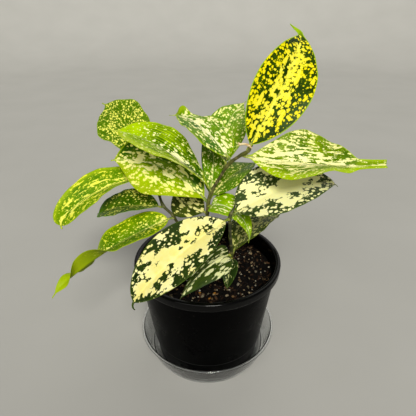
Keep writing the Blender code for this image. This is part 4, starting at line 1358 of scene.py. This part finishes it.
mix, tree, shader = new_material("potting_mix")
here = object_place(tree)
lumps = noise(tree, here, LUMPS, detail=8.0, roughness=0.7)
damp = noise(tree, here, DAMP, detail=4.0)
peat = blend(tree, ramp(tree, lumps, *PEAT_RANGE), *PEAT_COLOURS)
peat = blend(tree, ramp(tree, damp, *DAMP_RANGE), peat, DAMP_COLOUR)
fill(tree, shader, {"Base Color": peat, "Roughness": ramp(tree, damp, *PEAT_ROUGHNESS),
                    "Normal": bumps(tree, lumps, 1.0, LUMP_RELIEF), "Specular IOR Level": SOIL_SHINE})
make_piece("soil_mix", (points, faces), mix, ["soil"])
print("nodes of the peat:", len(tree.nodes))

# %% [markdown]
# ## Crumbs, bark and chips
#
# Potting mix is full of small bits: dark peat crumbs, brown bark, tan and cream chips. Each
# bit is a twenty-sided stone with its corners pushed about, made long or flat, turned, and
# laid on the soil's top. All bits of a kind are worked out together as one array, from a
# fixed seed, so that every run strews them alike.

# %% Bits on the soil
SEED = 8
GOLDEN = (1 + 5 ** 0.5) / 2
STONE_REACH = 1.9           # distance of a corner from the middle before it is scaled to about 1
STONE = np.array([(-1, GOLDEN, 0), (1, GOLDEN, 0), (-1, -GOLDEN, 0), (1, -GOLDEN, 0),
                  (0, -1, GOLDEN), (0, 1, GOLDEN), (0, -1, -GOLDEN), (0, 1, -GOLDEN),
                  (GOLDEN, 0, -1), (GOLDEN, 0, 1), (-GOLDEN, 0, -1), (-GOLDEN, 0, 1)]) / STONE_REACH
STONE_FACES = np.array([
    (0, 11, 5), (0, 5, 1), (0, 1, 7), (0, 7, 10), (0, 10, 11), (1, 5, 9), (5, 11, 4), (11, 10, 2),
    (10, 7, 6), (7, 1, 8), (3, 9, 4), (3, 4, 2), (3, 2, 6), (3, 6, 8), (3, 8, 9), (4, 9, 5),
    (2, 4, 11), (6, 2, 10), (8, 6, 7), (9, 8, 1)])
BITS = [  # count, size, how long, how thick, colours
    (1500, (0.6, 1.5), 1.3, 0.8, [(14, 9, 6), (22, 15, 10), (34, 24, 17), (9, 7, 6)]),
    (440, (0.6, 1.6), 3.2, 0.45, [(66, 43, 28), (92, 66, 44), (40, 27, 18)]),
    (230, (0.8, 1.6), 1.5, 0.6, [(172, 148, 112), (216, 194, 154), (140, 108, 72)]),
    (60, (1.1, 2.2), 1.3, 0.7, [(150, 136, 104), (196, 184, 152), (104, 84, 58)]),
    (110, (0.6, 1.2), 1.2, 0.8, [(230, 222, 198), (210, 200, 174)]),
    (8, (1.2, 1.6), 1.6, 0.6, [(206, 140, 52)])]
CLEAR_OF_CANE = 3.2
CLEAR_OF_WALL = 2.5
UNEVEN = (0.7, 1.25)        # how far a corner is pushed in or out
TILT_SPREAD = 0.45
SUNK = 0.25                 # a bit's middle lies this share of its size above the soil
SHADE_SPREAD = (0.2, 0.7)


def strewn(rng, count, sizes, length, thickness, palette):
    """Points of count stones and the colour of each: turn, tilt, stretch and lay them down."""
    distance = (soil_edge - CLEAR_OF_WALL) * np.sqrt(rng.uniform(0.0, 1.0, count))
    bearing = rng.uniform(0.0, math.tau, count)
    x, y = distance * np.cos(bearing), distance * np.sin(bearing)
    for line in CANES.values():
        near = np.hypot(x - line[0][0], y - line[0][1]) < CLEAR_OF_CANE
        x[near] += 2 * CLEAR_OF_CANE
    size = rng.uniform(*sizes, count)
    stone = STONE[None] * rng.uniform(*UNEVEN, (count, len(STONE), 1))
    long, wide, high = np.moveaxis(stone * size[:, None, None] * [length, 1.0, thickness], -1, 0)
    turn = rng.uniform(0.0, math.tau, (count, 1))
    tilt = rng.normal(0.0, TILT_SPREAD, (count, 1))
    long, high = long * np.cos(tilt) - high * np.sin(tilt), long * np.sin(tilt) + high * np.cos(tilt)
    placed = np.stack([x[:, None] + long * np.cos(turn) - wide * np.sin(turn),
                       y[:, None] + long * np.sin(turn) + wide * np.cos(turn),
                       (soil_top(x, y) + SUNK * size)[:, None] + high], axis=-1)
    tone = np.array([colour(*palette[k])[:3] for k in rng.integers(0, len(palette), count)])
    tone = tone * rng.uniform(*SHADE_SPREAD, (count, 1))
    return placed.reshape(-1, 3), np.repeat(tone, len(STONE), axis=0)


rng = np.random.default_rng(SEED)
bit_points, bit_tones = (np.vstack(part) for part in zip(*[strewn(rng, *kind) for kind in BITS]))
stones = len(bit_points) // len(STONE)
bit_faces = STONE_FACES[None] + len(STONE) * np.arange(stones)[:, None, None]
print("bits on the soil:", stones)

# %% [markdown]
# All the bits share one material. Each stone keeps its tone on its own points, so that one
# mesh holds bits of every colour, and a fine noise draws fibres on them.

# %% Finish of the bits
BIT_FIBRES = 1100.0
BIT_SHADES = (0.25, 0.75, 0.6, 1.2)             # of the noise, and what that range turns into
BIT_ROUGHNESS = 0.85
BIT_RELIEF = 0.3

crumb, tree, shader = new_material("soil_bits")
fibres = noise(tree, object_place(tree), BIT_FIBRES, detail=4.0)
shade = ramp(tree, fibres, *BIT_SHADES)
bit_colour = blend(tree, 1.0, stored(tree, "tone"), combine(tree, shade, shade, shade), mode="MULTIPLY")
fill(tree, shader, {"Base Color": bit_colour, "Roughness": BIT_ROUGHNESS, "Specular IOR Level": SOIL_SHINE,
                    "Normal": bumps(tree, fibres, FIBRE_STRENGTH, BIT_RELIEF)})
make_piece("soil_bits", (bit_points, bit_faces.reshape(-1, 3).tolist()), crumb,
           attributes={"tone": bit_tones})
print("nodes of the bits:", len(tree.nodes))

# %% [markdown]
# ## The studio
#
# The plant stands on a plain pale floor that bends up far away into a low wall all round, so
# that no edge shows from any side. It is a turned line again, open at the top.

# %% Floor
FLOOR_FLAT = 2200.0         # radius where the floor starts to rise
FLAT_SHARES = (0.01, 0.3, 0.65)
BEND_RADIUS = 1400.0
BEND_STEPS = 24
FLOOR_SIDES = 96
FLOOR_DROP = 0.3            # just under the saucer
MOTTLE = 6.0
FLOOR_COLOURS = (colour(168, 167, 163), colour(178, 177, 173))
FLOOR_ROUGHNESS = 0.9
FLOOR_SHINE = 0.1

floor_line = [(FLOOR_FLAT * share, -FLOOR_DROP) for share in FLAT_SHARES]
floor_line += [(FLOOR_FLAT + BEND_RADIUS * math.sin(a), BEND_RADIUS * (1 - math.cos(a)) - FLOOR_DROP)
               for a in np.linspace(0.0, math.pi / 2, BEND_STEPS)]
floor_faces = [face[::-1] for face in grid_faces(len(floor_line), FLOOR_SIDES, closed=True)]
floor_faces.append(list(range(FLOOR_SIDES)))
floor_mesh = plain_mesh("floor", spun(floor_line, FLOOR_SIDES), floor_faces)
floor = bpy.data.objects.new("floor", floor_mesh)
bpy.context.scene.collection.objects.link(floor)
paper, tree, shader = new_material("pale_floor")
mottle = noise(tree, object_place(tree), MOTTLE, detail=3.0)
fill(tree, shader, {"Base Color": blend(tree, mottle, *FLOOR_COLOURS), "Roughness": FLOOR_ROUGHNESS,
                    "Specular IOR Level": FLOOR_SHINE})
floor_mesh.materials.append(paper)
print("faces of the floor:", len(floor_faces))

# %% [markdown]
# A main light from high in front, a wider and weaker one from the left and a weak one from
# behind act like tall windows. They are Sun lamps, which light near and far leaves alike.
# Their width in degrees makes the shadows soft, and an even sky fills the rest.

# %% Lights
LIGHTS = {  # where it comes from, strength, width in degrees
    "main": ((130, -850, 800), 2.4, 18.0),
    "front": ((-300, -900, 600), 1.0, 50.0),
    "back": ((300, 850, 550), 0.8, 60.0),
}
LIGHT_COLOUR = (1.0, 0.98, 0.91)
SKY_COLOUR = (0.98, 0.98, 0.96, 1.0)
SKY_STRENGTH = 0.2

for name, (light_place, strength, width) in LIGHTS.items():
    light_data = bpy.data.lights.new(name, "SUN")
    light_data.energy = strength
    light_data.angle = math.radians(width)
    light_data.color = LIGHT_COLOUR
    light = bpy.data.objects.new(name, light_data)
    light.location = Vector(light_place) * MM
    light.rotation_euler = (-Vector(light_place)).to_track_quat("-Z", "Y").to_euler()
    bpy.context.scene.collection.objects.link(light)
sky = bpy.data.worlds.new("sky")
sky.use_nodes = True
background = sky.node_tree.nodes["Background"]
fill(sky.node_tree, background, {"Color": SKY_COLOUR, "Strength": SKY_STRENGTH})
bpy.context.scene.world = sky
bpy.context.scene.view_settings.view_transform = "Standard"
print("lights:", len(LIGHTS))
